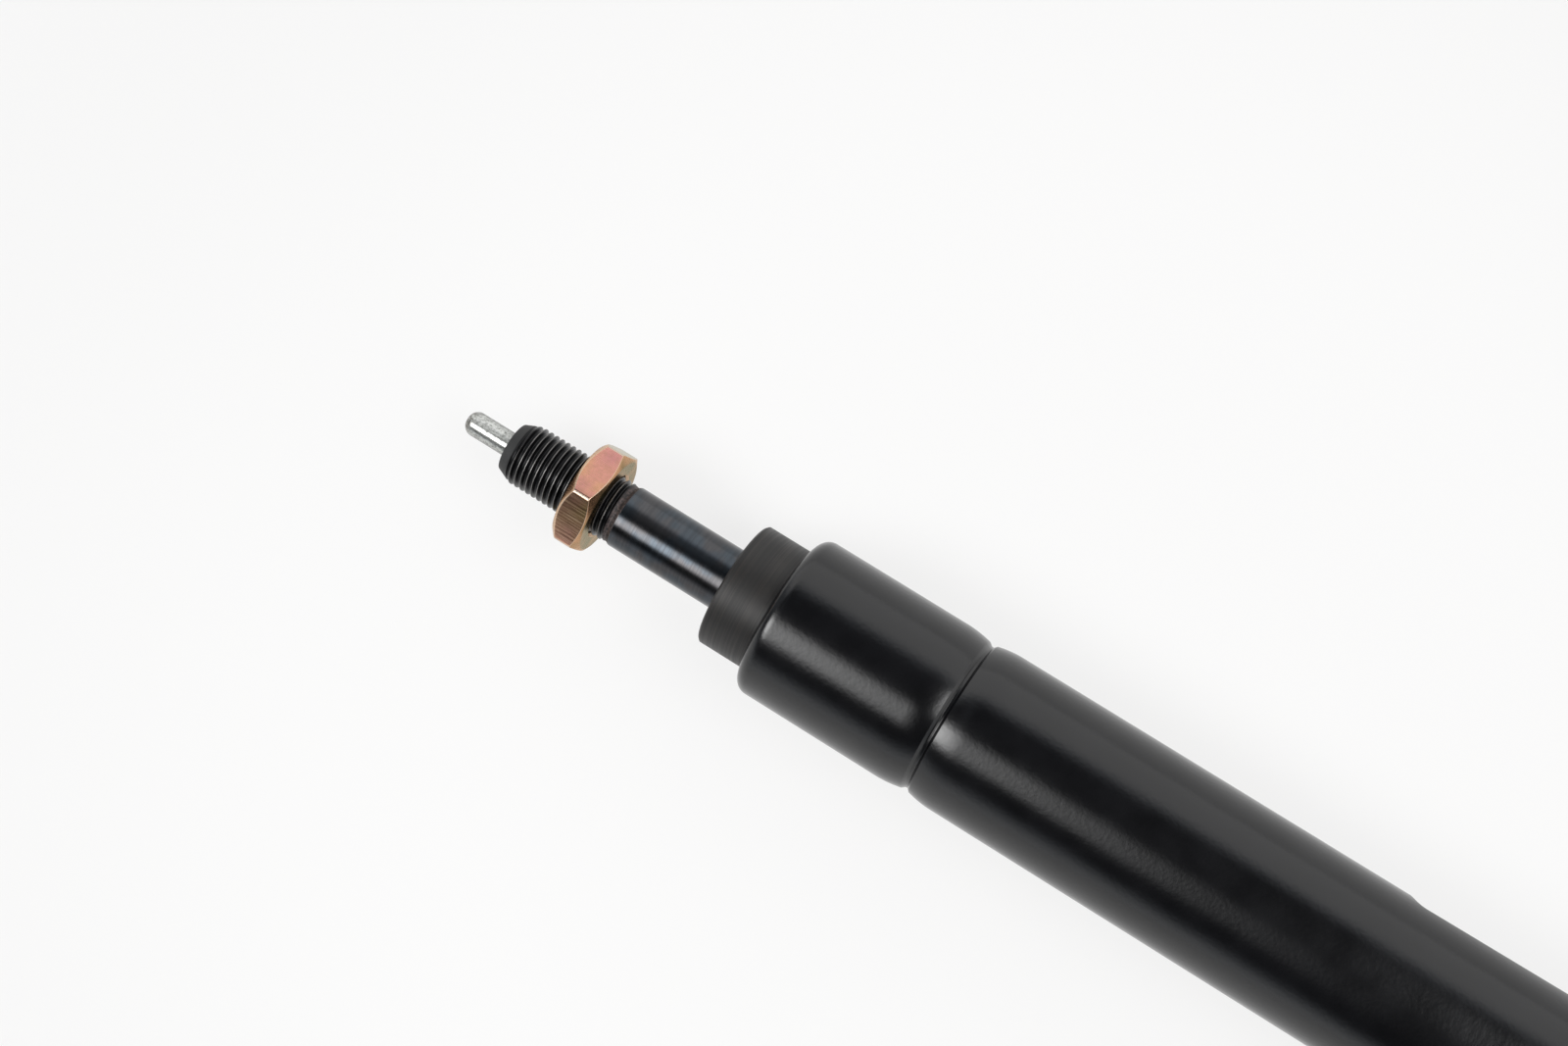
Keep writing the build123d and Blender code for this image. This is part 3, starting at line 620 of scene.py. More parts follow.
def rod_nitrided(f, tones):
    """Dark satin nitrided rod, with a brownish neck and black oxide on the thread."""
    sizes = bpy.context.scene.spring_rod
    along, across, upwards = f.split(f.place)
    neck_front = ROD_END - sizes.neck_from_end
    shoulder = ROD_END - sizes.shoulder_from_end
    on_neck = f.ramp(along, shoulder - 0.10 * MM, shoulder + 0.05 * MM)
    on_thread = f.ramp(along, neck_front + 0.15 * MM, neck_front + 0.5 * MM)
    on_bevel = f.ramp(along, ROD_END - 1.9 * MM, ROD_END - 1.2 * MM)
    rings, tint = f.grain((3300, 90, 90), 3, 0.7), f.grain(260, 2)
    cloud, grit = f.grain(700, 4), f.grain(2600, 3, 0.6)
    flat = f.join(Y=across, Z=upwards)
    radius = f.get("ShaderNodeVectorMath", {0: flat}, "Value", operation="LENGTH")
    cut = on_thread * (1 - on_bevel)
    crest = f.ramp(radius, sizes.crest - 0.06 * MM, sizes.crest - 0.005 * MM) * cut
    worn = crest * f.ramp(cloud, 0.25, 0.6, 0.55, 1.0)

    blue, warm = scaled(tones.nitrided, 0.88, 1.0, 1.06), scaled(tones.nitrided, 1.10, 1.02, 0.95)
    side = f.ramp(across, -1.6 * MM, 3.4 * MM, -0.12, 0.18)
    rod = f.mix(f.math("ADD", f.ramp(tint, 0.36, 0.62), side, clamp=True), blue, warm)
    rod = f.mix(f.ramp(rings, 0.40, 0.60, 0.36, 0.0), rod, (0.03, 0.032, 0.036))
    brown = f.mix(f.ramp(grit, 0.4, 0.65), (0.012, 0.009, 0.009), (0.070, 0.050, 0.047))
    thread = f.mix(f.ramp(cloud, 0.4, 0.7), tones.oxide, scaled(tones.oxide, 1.6))
    thread = f.mix(worn, thread, (0.19, 0.183, 0.178))
    thread = f.mix(on_bevel, thread, (0.02, 0.02, 0.02))
    shade = f.mix(on_thread, f.mix(on_neck, rod, brown), thread)

    # Painted sheen: the rod's -Y side is made a little less metallic, so that it shows lighter
    # there
    side_lift = f.ramp(across, -0.2 * MM, -1.4 * MM, 1.0, 0.86)
    metal = f.ramp(on_neck, 0.0, 1.0, side_lift, 0.25, "LINEAR") + cut * 0.4
    metal = f.math("MAXIMUM", metal, worn)
    root = f.ramp(radius, sizes.crest - 0.12 * MM, sizes.crest - 0.32 * MM) * on_thread
    gloss = f.ramp(cloud, 0.3, 0.7, 0.175, 0.21) + on_neck * 0.335 - on_thread * 0.31
    gloss = gloss + on_bevel * 0.31 + worn * 0.26 + root * 0.08
    grit_strength = on_thread * 0.45 + 0.06
    f.coat(shade, gloss, (rings, 0.6, 0.008), (grit, grit_strength, 0.006), Metallic=metal)


def pin_zinc(f, tones):
    """Bright zinc on the release pin, mottled and a little scuffed at its nose."""
    along, across, _ = f.split(f.place)
    cloud, scuffs = f.grain(2100, 4, 0.7), f.grain((1300, 3400, 3400), 4, 0.7)
    nose = f.ramp(along, PIN_TIP - 1.9 * MM, PIN_TIP - 0.6 * MM)
    shade = f.mix(f.ramp(cloud, 0.34, 0.60), scaled(tones.zinc, 0.56), scaled(tones.zinc, 1.14))
    shade = f.mix(f.ramp(scuffs, 0.58, 0.66, 0, 0.9), shade, (0.08, 0.08, 0.07))
    shade = f.mix(nose * f.ramp(cloud, 0.62, 0.48, 0, 0.9), shade, (0.13, 0.12, 0.105))
    # Painted shade: a dark band along both sides of the pin, where its outline runs as seen from
    # above
    from_top = f.math("ABSOLUTE", across)
    shade = f.mix(f.ramp(from_top, 1.68 * MM, 1.93 * MM, 0, 0.75), shade, (0.12, 0.12, 0.11))
    gloss = f.ramp(cloud, 0.35, 0.65, 0.24, 0.13) + nose * 0.12
    # Painted light: the pin's -Y side is made much less metallic, so that it shows lighter there
    zinc_side_lift = f.ramp(across, -0.3 * MM, 0.1 * MM, 0.32, 0.78)
    f.coat(shade, gloss, (cloud, 0.10, 0.012), (scuffs, 0.05, 0.008), Metallic=zinc_side_lift)


def nut_chromate(f, tones):
    """Yellow chromate on the nut: its tint goes from rose through gold to olive with the face."""
    normal = f.get("ShaderNodeNewGeometry", output="Normal")
    spaces = {"vector_type": "NORMAL", "convert_from": "WORLD", "convert_to": "OBJECT"}
    endwise, sideways, upwards = f.split(f.get("ShaderNodeVectorTransform", {0: normal}, **spaces))
    lean = f.math("ABSOLUTE", endwise)
    cloud, patch = f.grain(260, 3, 0.55), f.grain(95, 2)
    streaks, mottle = f.grain((120, 5200, 5200), 4, 0.7), f.grain(1900, 3, 0.6)

    rose = f.mix(f.ramp(cloud, 0.40, 0.62), tones.chromate_rose, (0.58, 0.30, 0.19))
    rose = f.mix(f.ramp(patch, 0.52, 0.70, 0, 0.8), rose, (0.47, 0.205, 0.21))
    rose = f.mix(f.ramp(patch, 0.46, 0.34, 0, 0.35), rose, tones.chromate_gold)
    rose = f.mix(f.ramp(mottle, 0.42, 0.60), rose, (0.90, 0.93, 0.88), "MULTIPLY")
    brown = f.mix(f.ramp(patch, 0.42, 0.62), tones.chromate_olive, (0.50, 0.31, 0.25))
    brown = f.mix(f.ramp(streaks, 0.50, 0.59, 0, 0.80), brown, (0.13, 0.095, 0.06))
    brown = f.mix(f.ramp(streaks, 0.47, 0.38, 0, 0.9), brown, (0.92, 0.72, 0.52))
    height = f.ramp(f.split(f.place)[2], 3.5 * MM, 8 * MM)
    brown = f.mix(1.0, brown, f.mix(height, (1.36, 1.09, 1.06), (0.67, 0.585, 0.485)), "MULTIPLY")
    shade = f.mix(f.ramp(sideways, -0.35, 0.35), rose, brown)
    shade = f.mix(f.ramp(sideways, -0.75, -0.95), shade, (0.46, 0.44, 0.38))

    rim = lean - 0.25 + cloud * 0.5
    shade = f.mix(f.ramp(rim, 0.25, 0.50), shade, (0.55, 0.30, 0.165))
    shade = f.mix(f.ramp(rim, 0.78, 1.08), shade, (0.166, 0.139, 0.058))
    turn = bpy.context.scene.spring_nut.turn
    on_corner = f.math("COSINE", f.math("ARCTAN2", sideways, upwards) * 6 - 6 * turn)
    corner = f.ramp(on_corner, -0.2, 0.6) * f.ramp(lean, 0.5, 0.1)
    edge = f.ramp(lean, 0.14, 0.34) * f.ramp(lean, 0.82, 0.62)
    shade = f.mix(edge * f.ramp(cloud, 0.2, 0.6, 0.55, 0.95), shade, (0.63, 0.49, 0.36))
    shade = f.mix(corner, shade, (0.56, 0.45, 0.36))
    gloss = f.ramp(streaks, 0.3, 0.7, 0.22, 0.32) + corner * 0.08
    dents = (streaks, 0.13, 0.010), (mottle, 0.06, 0.015)
    f.coat(shade, gloss, *dents, Metallic=1 - corner * 0.35, Specular_Tint=(0.94, 0.91, 0.83))


def turned_metal(f, tone, dull, low, high):
    """Turned metal: fine rings round the axis, and slow changes of tone."""
    rings, cloud = f.grain((11000, 80, 80), 3, 0.7), f.grain(300, 4)
    shade = f.mix(f.ramp(cloud, 0.35, 0.7), tone, dull)
    gloss = f.ramp(rings, 0.3, 0.7, low, high)
    f.coat(shade, gloss, (rings, 0.25, 0.01), (cloud, 0.06, 0.02), Metallic=1.0)


def inner_steel(f, tones):
    """Machined steel inside the spring."""
    turned_metal(f, (0.50, 0.51, 0.53), (0.36, 0.36, 0.37), 0.22, 0.34)


def valve_brass(f, tones):
    """Machined brass of the valve sleeve."""
    turned_metal(f, (0.72, 0.53, 0.24), (0.55, 0.38, 0.17), 0.22, 0.34)


def piston_aluminium(f, tones):
    """Machined aluminium of the guide and the separating piston."""
    turned_metal(f, (0.70, 0.71, 0.73), (0.56, 0.57, 0.59), 0.28, 0.4)


def end_steel(f, tones):
    """Dull zinc on the eye and the end plug, with a cloudy, slightly blue film."""
    cloud = f.grain(240, 5, 0.6)
    spangle = f.get("ShaderNodeTexVoronoi", {"Vector": f.place, "Scale": 900}, "Distance")
    shade = f.mix(f.ramp(cloud, 0.3, 0.7), (0.42, 0.43, 0.46), (0.56, 0.57, 0.57))
    gloss = f.ramp(cloud, 0.3, 0.7, 0.30, 0.42)
    f.coat(shade, gloss, (cloud, 0.15, 0.03), (spangle, 0.05, 0.01), Metallic=1.0)


def weld_steel(f, tones):
    """Weld bead: dark steel with brown and blue heat tints."""
    cloud, heat = f.grain(420, 4), f.grain(150, 2)
    shade = f.mix(f.ramp(heat, 0.35, 0.65), (0.20, 0.15, 0.11), (0.15, 0.16, 0.21))
    shade = f.mix(f.ramp(cloud, 0.5, 0.75, 0, 0.6), shade, (0.36, 0.35, 0.34))
    gloss = f.ramp(cloud, 0.3, 0.7, 0.28, 0.48)
    f.coat(shade, gloss, (cloud, 0.25, 0.03), Metallic=1.0)


def bearing_bronze(f, tones):
    """Sintered bronze with open pores."""
    pores, cloud = f.grain(5200, 2), f.grain(300, 3)
    shade = f.mix(f.ramp(cloud, 0.35, 0.7), (0.55, 0.36, 0.19), (0.42, 0.28, 0.16))
    shade = f.mix(f.ramp(pores, 0.60, 0.72), shade, (0.10, 0.07, 0.05))
    f.coat(shade, f.ramp(pores, 0.4, 0.7, 0.32, 0.6), (pores, 0.35, 0.015), Metallic=0.9)


def seal_rubber(f, tones):
    """Black rubber with a fine moulded grain."""
    skin, cloud = f.grain(4200, 2), f.grain(380, 3)
    shade = f.mix(f.ramp(cloud, 0.3, 0.7), (0.012, 0.012, 0.013), (0.022, 0.022, 0.022))
    f.coat(shade, f.ramp(cloud, 0.3, 0.7, 0.42, 0.56), (skin, 0.2, 0.012))


def guide_plastic(f, tones):
    """Ivory plastic of the buffer and the guide rings."""
    skin, cloud = f.grain(3000, 2), f.grain(200, 3)
    shade = f.mix(f.ramp(cloud, 0.3, 0.7), (0.62, 0.59, 0.50), (0.54, 0.50, 0.41))
    f.coat(shade, f.ramp(skin, 0.3, 0.7, 0.38, 0.48), (skin, 0.12, 0.01))


def floor_panel(f, tones):
    """White panel lit from below, so that the spring's shadow on it stays faint."""
    studio = bpy.context.scene.spring_studio
    shade = f.mix(f.grain(3, 3), studio.floor, scaled(studio.floor, 0.985))
    pair = {0: f.place, 1: (0.16, 0, 0)}
    from_spring = f.get("ShaderNodeVectorMath", pair, "Value", operation="DISTANCE")
    # Painted pool of light: the glow is strongest round the spring and a little weaker further out
    glow = f.ramp(from_spring, 0.08, 0.20, 1.0, 0.945) * studio.floor_glow
    f.fill(Base_Color=shade, Roughness=0.75, Specular_IOR_Level=0.2)
    f.fill(Emission_Color=(1.0, 0.997, 0.992), Emission_Strength=glow)


FINISHES = {
    "tube_paint": tube_paint,
    "black_turned": black_turned,
    "rod_nitrided": rod_nitrided,
    "pin_steel": pin_zinc,
    "nut_chromate": nut_chromate,
    "inner_steel": inner_steel,
    "valve_brass": valve_brass,
    "seal_rubber": seal_rubber,
    "bearing_bronze": bearing_bronze,
    "guide_plastic": guide_plastic,
    "piston_aluminium": piston_aluminium,
    "end_steel": end_steel,
    "weld": weld_steel,
    "floor": floor_panel,
}
made_finishes = {}


def finish_for(slot):
    """The finish of a material slot, made the first time it is asked for."""
    if slot not in made_finishes:
        make = FINISHES[slot]
        finish = Finish(make.__name__)
        make(finish, bpy.context.scene.spring_finishes)
        made_finishes[slot] = finish.material
    return made_finishes[slot]


# ---- Pieces ----


def shoulder(foot, corner, steps=ROLL_STEPS):
    """Points of an arc that leaves a straight wall at its foot and drops to a corner."""
    run, drop = corner[0] - foot[0], foot[1] - corner[1]
    bend = (run**2 + drop**2) / (2 * drop)
    angles = [asin(run / bend) * step / steps for step in range(steps + 1)]
    return [(foot[0] + bend * sin(a), foot[1] - bend * (1 - cos(a)), 0) for a in angles]


def groove_outside(sizes, surface):
    """Outline of the rolled groove in the tube's outside, from rear to front."""
    valley = MOUTH - sizes.groove_from_mouth
    floor = surface - sizes.groove_depth
    rear = (valley - sizes.notch_rear, surface - sizes.notch_rear_depth)
    front = (valley + sizes.notch_front, surface - sizes.notch_front_depth)
    return [
        *shoulder((valley - sizes.rear_reach, surface), rear)[:-1],
        (*rear, 0.07),
        (rear[0] + 0.45 * MM, floor, 0.12),
        (front[0] - 0.59 * MM, floor, 0.12),
        (*front, 0.07),
        *shoulder((valley + sizes.front_reach, surface), front)[-2::-1],
    ]


def groove_inside(sizes, surface):
    """Outline of the rolled groove in the tube's bore, from rear to front."""
    valley, reach = MOUTH - sizes.groove_from_mouth, sizes.groove_reach
    kink = (valley + sizes.kink_offset, surface - sizes.kink_depth)
    points = shoulder((valley - reach, surface), (valley, surface - sizes.groove_depth))
    return points + shoulder((valley + reach, surface), kink)[::-1]


def flat_depth(sizes, x):
    """How far the flat on the tube's side is pressed in at a place along the axis."""
    run, deep, shallow = sizes.flat_front_run, sizes.flat_front_depth, sizes.flat_rear_depth
    front = MOUTH - sizes.flat_from_mouth
    rear, foot = front - sizes.flat_length, front - run
    if not rear - sizes.flat_rear_run < x < front:
        return 0
    if x < rear:
        return shallow * (x - rear + sizes.flat_rear_run) / sizes.flat_rear_run
    if x < foot:
        return shallow + (x - rear) / (foot - rear) * (deep - shallow)
    bend = (run**2 + deep**2) / (2 * deep)
    return deep - bend + sqrt(bend**2 - (x - foot) ** 2)


class GASSPRING_OT_tube(bpy.types.Operator):
    """Build the pressure tube with its rolled ends, rolled groove and side flat"""

    bl_idname = "gasspring.tube"
    bl_label = "Pressure tube"

    def execute(self, context):
        sizes = context.scene.spring_tube
        outer, wall, roll, run = TUBE_RADIUS, sizes.wall, sizes.roll, sizes.flat_front_run
        bore, edge, beside = outer - wall, 0.15, 0.3 * MM
        rear_roll, front_roll = (TUBE_REAR + roll, outer - roll), (MOUTH - roll, outer - roll)
        front = MOUTH - sizes.flat_from_mouth
        rear = front - sizes.flat_length
        rear_end = rear - sizes.flat_rear_run
        stations = [rear_end - 0.5 * MM, rear_end]
        spans = (rear_end, rear, 4), (rear, front - run, 20), (front - run, front, 12)
        for start, end, steps in spans:
            stations += [start + (end - start) * step / steps for step in range(1, steps + 1)]
        stations += [front + 0.2 * MM, front + 0.8 * MM]
        corners = [
            (TUBE_REAR, sizes.rear_lip, edge),
            *arc(rear_roll, roll, 180, 90),
            (rear_roll[0] + beside, outer, 0),
            *((x, outer, 0) for x in stations),
            *groove_outside(sizes, outer),
            (front_roll[0] - beside, outer, 0),
            *arc(front_roll, roll, 90, 0),
            (MOUTH, sizes.mouth_lip, edge),
            (MOUTH - wall, sizes.mouth_lip, edge),
            *arc(front_roll, roll - wall, 0, 90, 5),
            *groove_inside(sizes, bore)[::-1],
            *arc(rear_roll, roll - wall, 90, 180, 5),
            (TUBE_REAR + wall, sizes.rear_lip, edge),
        ]
        # Finer strips where the flat's long edges run
        angles = round_about(168) + [pi + radians(step / 2) for step in range(-34, 35)]
        piece = turned("tube_shell", corners, sorted({round(a, 6) for a in angles}))
        for vertex in piece.data.vertices:
            here = vertex.co
            if here.y > 0:
                here.y *= CAD_BOX[1].y / outer
            elif hypot(here.y, here.z) > bore + wall / 2:
                here.y = max(here.y, flat_depth(sizes, here.x) - outer)
        settle(piece, "tube", "tube_paint", "pressure_tube")
        return {"FINISHED"}


class GASSPRING_OT_collar(bpy.types.Operator):
    """Build the collar in the tube's mouth and the wiper in its recess"""

    bl_idname = "gasspring.collar"
    bl_label = "Collar and wiper"

    def execute(self, context):
        sizes = context.scene.spring_tube
        rod = context.scene.spring_rod.radius
        pack = TUBE_RADIUS - sizes.wall - 0.1 * MM
        flange = MOUTH - sizes.wall - 0.05 * MM
        seat, bearing_seat, bore = 7.5 * MM, rod + 1.03 * MM, rod + 0.3 * MM
        bearing_front = ends("rod_bearing")[1]
        radius, edge = sizes.collar_radius, sizes.collar_edge
        inner_round = sizes.roll - sizes.wall
        collar = [
            (COLLAR_FRONT, seat, 0.12),
            (COLLAR_FRONT, radius - edge, 0.10),
            (COLLAR_FRONT - edge, radius, 0.10),
            (flange, radius, 0),
            (flange, pack - inner_round, 0),
            (flange - inner_round, pack, 0),
            (BUSH_REAR, pack, 0.1),
            (BUSH_REAR, bearing_seat, 0.05),
            (bearing_front, bearing_seat, 0),
            (bearing_front, bore, 0),
            (WIPER_FOOT, bore, 0.05),
            (WIPER_FOOT, seat, 0),
        ]
        settle(turned("guide_collar", collar, 160), "tube", "black_turned", "guide_bush")
        heel, waist, rim = WIPER_FOOT + 2.4 * MM, WIPER_FOOT + 1.2 * MM, seat - 0.02 * MM
        wiper = [
            (WIPER_FOOT, 5.6 * MM, 0.1),
            (WIPER_FOOT, rim, 0.1),
            (heel, rim, 0.3),
            (heel, 6.3 * MM, 0.2),
            (waist, 6.0 * MM, 0.3),
            (COLLAR_FRONT, 5.5 * MM, 0.12),
            (COLLAR_FRONT, 5.1 * MM, 0.05),
            (waist, 5.6 * MM, 0.2),
        ]
        settle(turned("wiper_lip", wiper, 120), "tube", "seal_rubber", "wiper_ring")
        return {"FINISHED"}


class GASSPRING_OT_rod(bpy.types.Operator):
    """Build the piston rod with its cut thread, and the release pin in its bore"""

    bl_idname = "gasspring.rod"
    bl_label = "Rod and release pin"

    def execute(self, context):
        sizes = context.scene.spring_rod
        neck_front = ROD_END - sizes.neck_from_end
        head_front = ends("piston_body")[1] - 7.5 * MM
        bore_edge = 0.25 * MM
        body = [
            (ROD_END, sizes.nose, 0),
            (ROD_END, sizes.nose - 0.1 * MM, 0),
            (ROD_END, sizes.bore + bore_edge, 0.08),
            (ROD_END - bore_edge, sizes.bore, 0.05),
            (ROD_START, sizes.bore, 0.05),
            (ROD_START, 4.1 * MM, 0.1),
            (head_front, 4.7 * MM, 0.05),
            (head_front, sizes.spigot, 0),
            (WASHER_FRONT, sizes.spigot, 0),
            (WASHER_FRONT, sizes.radius, 0.1),
            (ROD_END - sizes.shoulder_from_end, sizes.radius, 0.25),
            (neck_front - sizes.neck_length, sizes.neck, 0.15),
            (neck_front - 0.05 * MM, sizes.neck, 0),
            (neck_front, sizes.neck, 0),
        ]
        piece = turned("threaded_rod", body, THREAD_SEGMENTS, closed=False)
        bevel = (sizes.bevel_radius - sizes.nose) / sizes.bevel_length
        low, high = (neck_front, sizes.neck, 0.35, 0.0), (ROD_END, sizes.nose, bevel, 1.15 * MM)
        cut_thread(
            piece, "rod_nitrided", sizes.pitch, (sizes.crest, sizes.root), low, high,
            Shift=-0.05 * MM, Steps=20, Inside=False,
        )
        settle(piece, "rod", "rod_nitrided", "piston_rod")

        nose = sizes.pin_nose
        pin = [
            (PIN_REAR, 0, 0),
            (PIN_REAR, sizes.pin, 0.1),
            (PIN_TIP - nose - 0.4 * MM, sizes.pin, 0),
            *arc((PIN_TIP - nose, sizes.pin - nose), nose, 90, 0),
            (PIN_TIP, 0.2 * MM, 0),
            (PIN_TIP, 0, 0),
        ]
        settle(turned("domed_pin", pin, 72), "pin", "pin_steel", "release_pin")
        return {"FINISHED"}


def hexagon_rim(apothem, corner, turn):
    """(angle, radius) points round a hexagon with rounded corners, one corner near straight up."""
    rim = []
    half_side, corner_steps, flat_steps = radians(30), 4, 7
    centre = (apothem - corner) / cos(half_side)
    half_flat = (apothem - corner) * tan(half_side)
    for side in range(6):
        to_corner = pi / 2 - turn + side * 2 * half_side
        for step in range(-corner_steps, corner_steps + 1):
            a = to_corner + half_side * step / corner_steps
            y = centre * cos(to_corner) + corner * cos(a)
            z = centre * sin(to_corner) + corner * sin(a)
            rim.append((atan2(z, y) % (2 * pi), hypot(y, z)))
        for step in range(1, 2 * flat_steps):
            t = half_flat * (step / flat_steps - 1)
            a = to_corner + half_side + atan2(t, apothem)
            rim.append((a % (2 * pi), hypot(apothem, t)))
    return sorted(rim)


class GASSPRING_OT_nut(bpy.types.Operator):
    """Build the jam nut with bevelled corners and a threaded bore"""

    bl_idname = "gasspring.nut"
    bl_label = "Jam nut"

    def execute(self, context):
        sizes = context.scene.spring_nut
        rim = hexagon_rim(sizes.across_flats / 2, sizes.corner, sizes.turn)
        soft, start, rise = sizes.edge, sizes.bevel_radius, 0.012 * MM
        faces = ((NUT_REAR, 1, tan(sizes.rear_bevel)), (NUT_FRONT, -1, tan(sizes.front_bevel)))
        bm = bmesh.new()
        halves = []
        # Rings from each face's bevel circle over the bevel to the flat, with the edge between
        # bevel and flat rounded
        for face, inward, slope in faces:
            rows = [
                ring_of(bm, ((face + inward * rise * lift, start - gap, a) for a, r in rim))
                for gap, lift in ((0.12 * MM, 0), (0.04 * MM, 0), (0, 1))
            ]
            for step in (-2.0, -1.0, -0.6, -0.3, 0.0, 0.3, 0.6, 1.0, 2.0):
                points = []
                for a, r in rim:
                    depth = max((r - start + step * soft) * slope, 0.03 * MM + (step + 2) * rise)
                    cone = start + depth / slope
                    blend = max(soft - abs(cone - r), 0) / soft
                    points.append((face + inward * depth, min(cone, r) - blend**2 * soft / 4, a))
                rows.append(ring_of(bm, points))
            halves.append(rows)
        rows = halves[0] + halves[1][::-1]
        for first, second in zip(rows, rows[1:]):
            band(bm, first, second)
        # Each flat face, from the bevel's inner ring to the countersink's mouth
        for face, outer in ((NUT_REAR, rows[0]), (NUT_FRONT, rows[-1])):
            mouth, lip = (
                ring_of(bm, ((face, radius, a) for a in round_about(THREAD_SEGMENTS)))
                for radius in (sizes.mouth, sizes.mouth + 0.06 * MM)
            )
            band(bm, mouth, lip)
            sides = [side for loop in (lip, outer) for side in zip(loop, loop[1:] + loop[:1])]
            edges = [bm.edges.get(side) or bm.edges.new(side) for side in sides]
            bmesh.ops.triangle_fill(bm, edges=edges, use_dissolve=False, normal=(1, 0, 0))
        piece = finished_mesh("hex_nut", bm)
        pitch, mouth = context.scene.spring_rod.pitch, (sizes.mouth, -1.0, 0.1 * MM)
        cut_thread(
            piece, "nut_chromate", pitch, (sizes.bore, sizes.groove), (NUT_REAR, *mouth),
            (NUT_FRONT, *mouth), Shift=0.3 * MM, Steps=16, Inside=True,
        )
        bm = bmesh.new()
        bm.from_mesh(piece.data)
        bmesh.ops.recalc_face_normals(bm, faces=bm.faces)
        bm.to_mesh(piece.data)
        bm.free()
        settle(piece, "nut", "nut_chromate", "jam_nut")
        return {"FINISHED"}


class GASSPRING_OT_rear_end(bpy.types.Operator):
    """Build the end plug, the welded rear eye, its weld bead and its liner"""

    bl_idname = "gasspring.rear_end"
    bl_label = "Rear end"

    def execute(self, context):
        sizes = context.scene.spring_eye
        wall = context.scene.spring_tube.wall
        pack = TUBE_RADIUS - wall - 0.1 * MM
        plug_rear = TUBE_REAR + wall + 0.05 * MM
        groove_front = ends("end_plug_o_ring")[1] + 0.2 * MM
        groove_rear, groove_floor = groove_front - 2.4 * MM, 9.62 * MM
        plug = [
            (BOSS_REAR, 0, 0),
            (BOSS_REAR, sizes.boss - 0.3 * MM, 0.12),
            (BOSS_REAR + 0.3 * MM, sizes.boss, 0.12),
            (plug_rear, sizes.boss, 0.1),
            (plug_rear, pack - 0.6 * MM, 0),
            (plug_rear + 0.6 * MM, pack, 0),
            (groove_rear, pack, 0.05),
            (groove_rear, groove_floor, 0),
            (groove_front, groove_floor, 0),
            (groove_front, pack, 0.05),
            (PLUG_FRONT - 0.3 * MM, pack, 0.1),
            (PLUG_FRONT, pack - 0.3 * MM, 0.1),
            (PLUG_FRONT, 0, 0),
        ]
        settle(turned("bossed_plug", plug, 128), "tube", "end_steel", "end_plug")

        half, edge, outer, hole = sizes.width / 2, sizes.edge, EYE_RADIUS, sizes.hole
        ring = [(half - edge, hole, 0.1), (half, hole + edge, 0.1)]
        ring += [(half, outer - edge, 0.15), (half - edge, outer, 0.15)]
        eye = turned("eye_ring", both_ways(ring), 128, across=True)
        settle(eye, "tube", "end_steel", "rear_eye")

        # The stem swells where it leaves the ring and again at the weld
        stem_start, stem_end = 6.6 * MM, BOSS_REAR + 0.05 * MM
        stem = [
            (stem_start, 0, 0),
            (stem_start, sizes.stem_slim - 1.2 * MM, 0.1),
            (7.6 * MM, sizes.stem_slim - 0.3 * MM, 0.5),
            (8.6 * MM, sizes.stem_slim + 0.2 * MM, 0.5),
            (BOSS_REAR - 1.2 * MM, sizes.stem, 0.3),
            (stem_end, sizes.stem + 0.4 * MM, 0.1),
            (stem_end, 0, 0),
        ]
        settle(turned("eye_stem", stem, 112), "tube", "end_steel")

        piece = finished_mesh("weld_bead", bmesh.new())
        bead = {"Ring_Radius": sizes.bead_ring, "Bead_Radius": sizes.bead, "Ripples": sizes.ripples}
        bead |= {"Place": BOSS_REAR - 0.55 * MM, "Unevenness": 0.07, "Seed": 4}
        run_tree(piece, weld_bead_tree(), **bead, Finish=finish_for("weld"))
        settle(piece, "tube", "end_steel", finish="weld")

        bore, lead, bevel = sizes.liner_bore, 0.2 * MM, 0.15 * MM
        liner = [(LINER_END - lead, bore, 0.08), (LINER_END, bore + lead, 0.08)]
        liner += [(LINER_END, hole - bevel, 0.08), (LINER_END - bevel, hole, 0.05)]
        liner = turned("eye_liner", both_ways(liner), 96, across=True)
        settle(liner, "tube", "bearing_bronze", "eye_bush")
        return {"FINISHED"}


class GASSPRING_OT_inner_pieces(bpy.types.Operator):
    """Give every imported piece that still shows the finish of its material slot"""

    bl_idname = "gasspring.inner_pieces"
    bl_label = "Inner pieces"

    def execute(self, context):
        slots = {part["node"]: part["material_slot"] for part in frame["record"]["subparts"]}
        for name, node in frame["nodes"].items():
            if not node.hide_render:
                for held in node.material_slots:
                    held.material = finish_for(slots[name])
        return {"FINISHED"}


# ---- Studio ----


def stand(thing, place, *axes):
    """Stands a lamp or the camera at a place, its own axes along the given ones."""
    thing.matrix_world = Matrix.Translation(place) @ Matrix(axes).transposed().to_4x4()
    bpy.context.scene.collection.objects.link(thing)


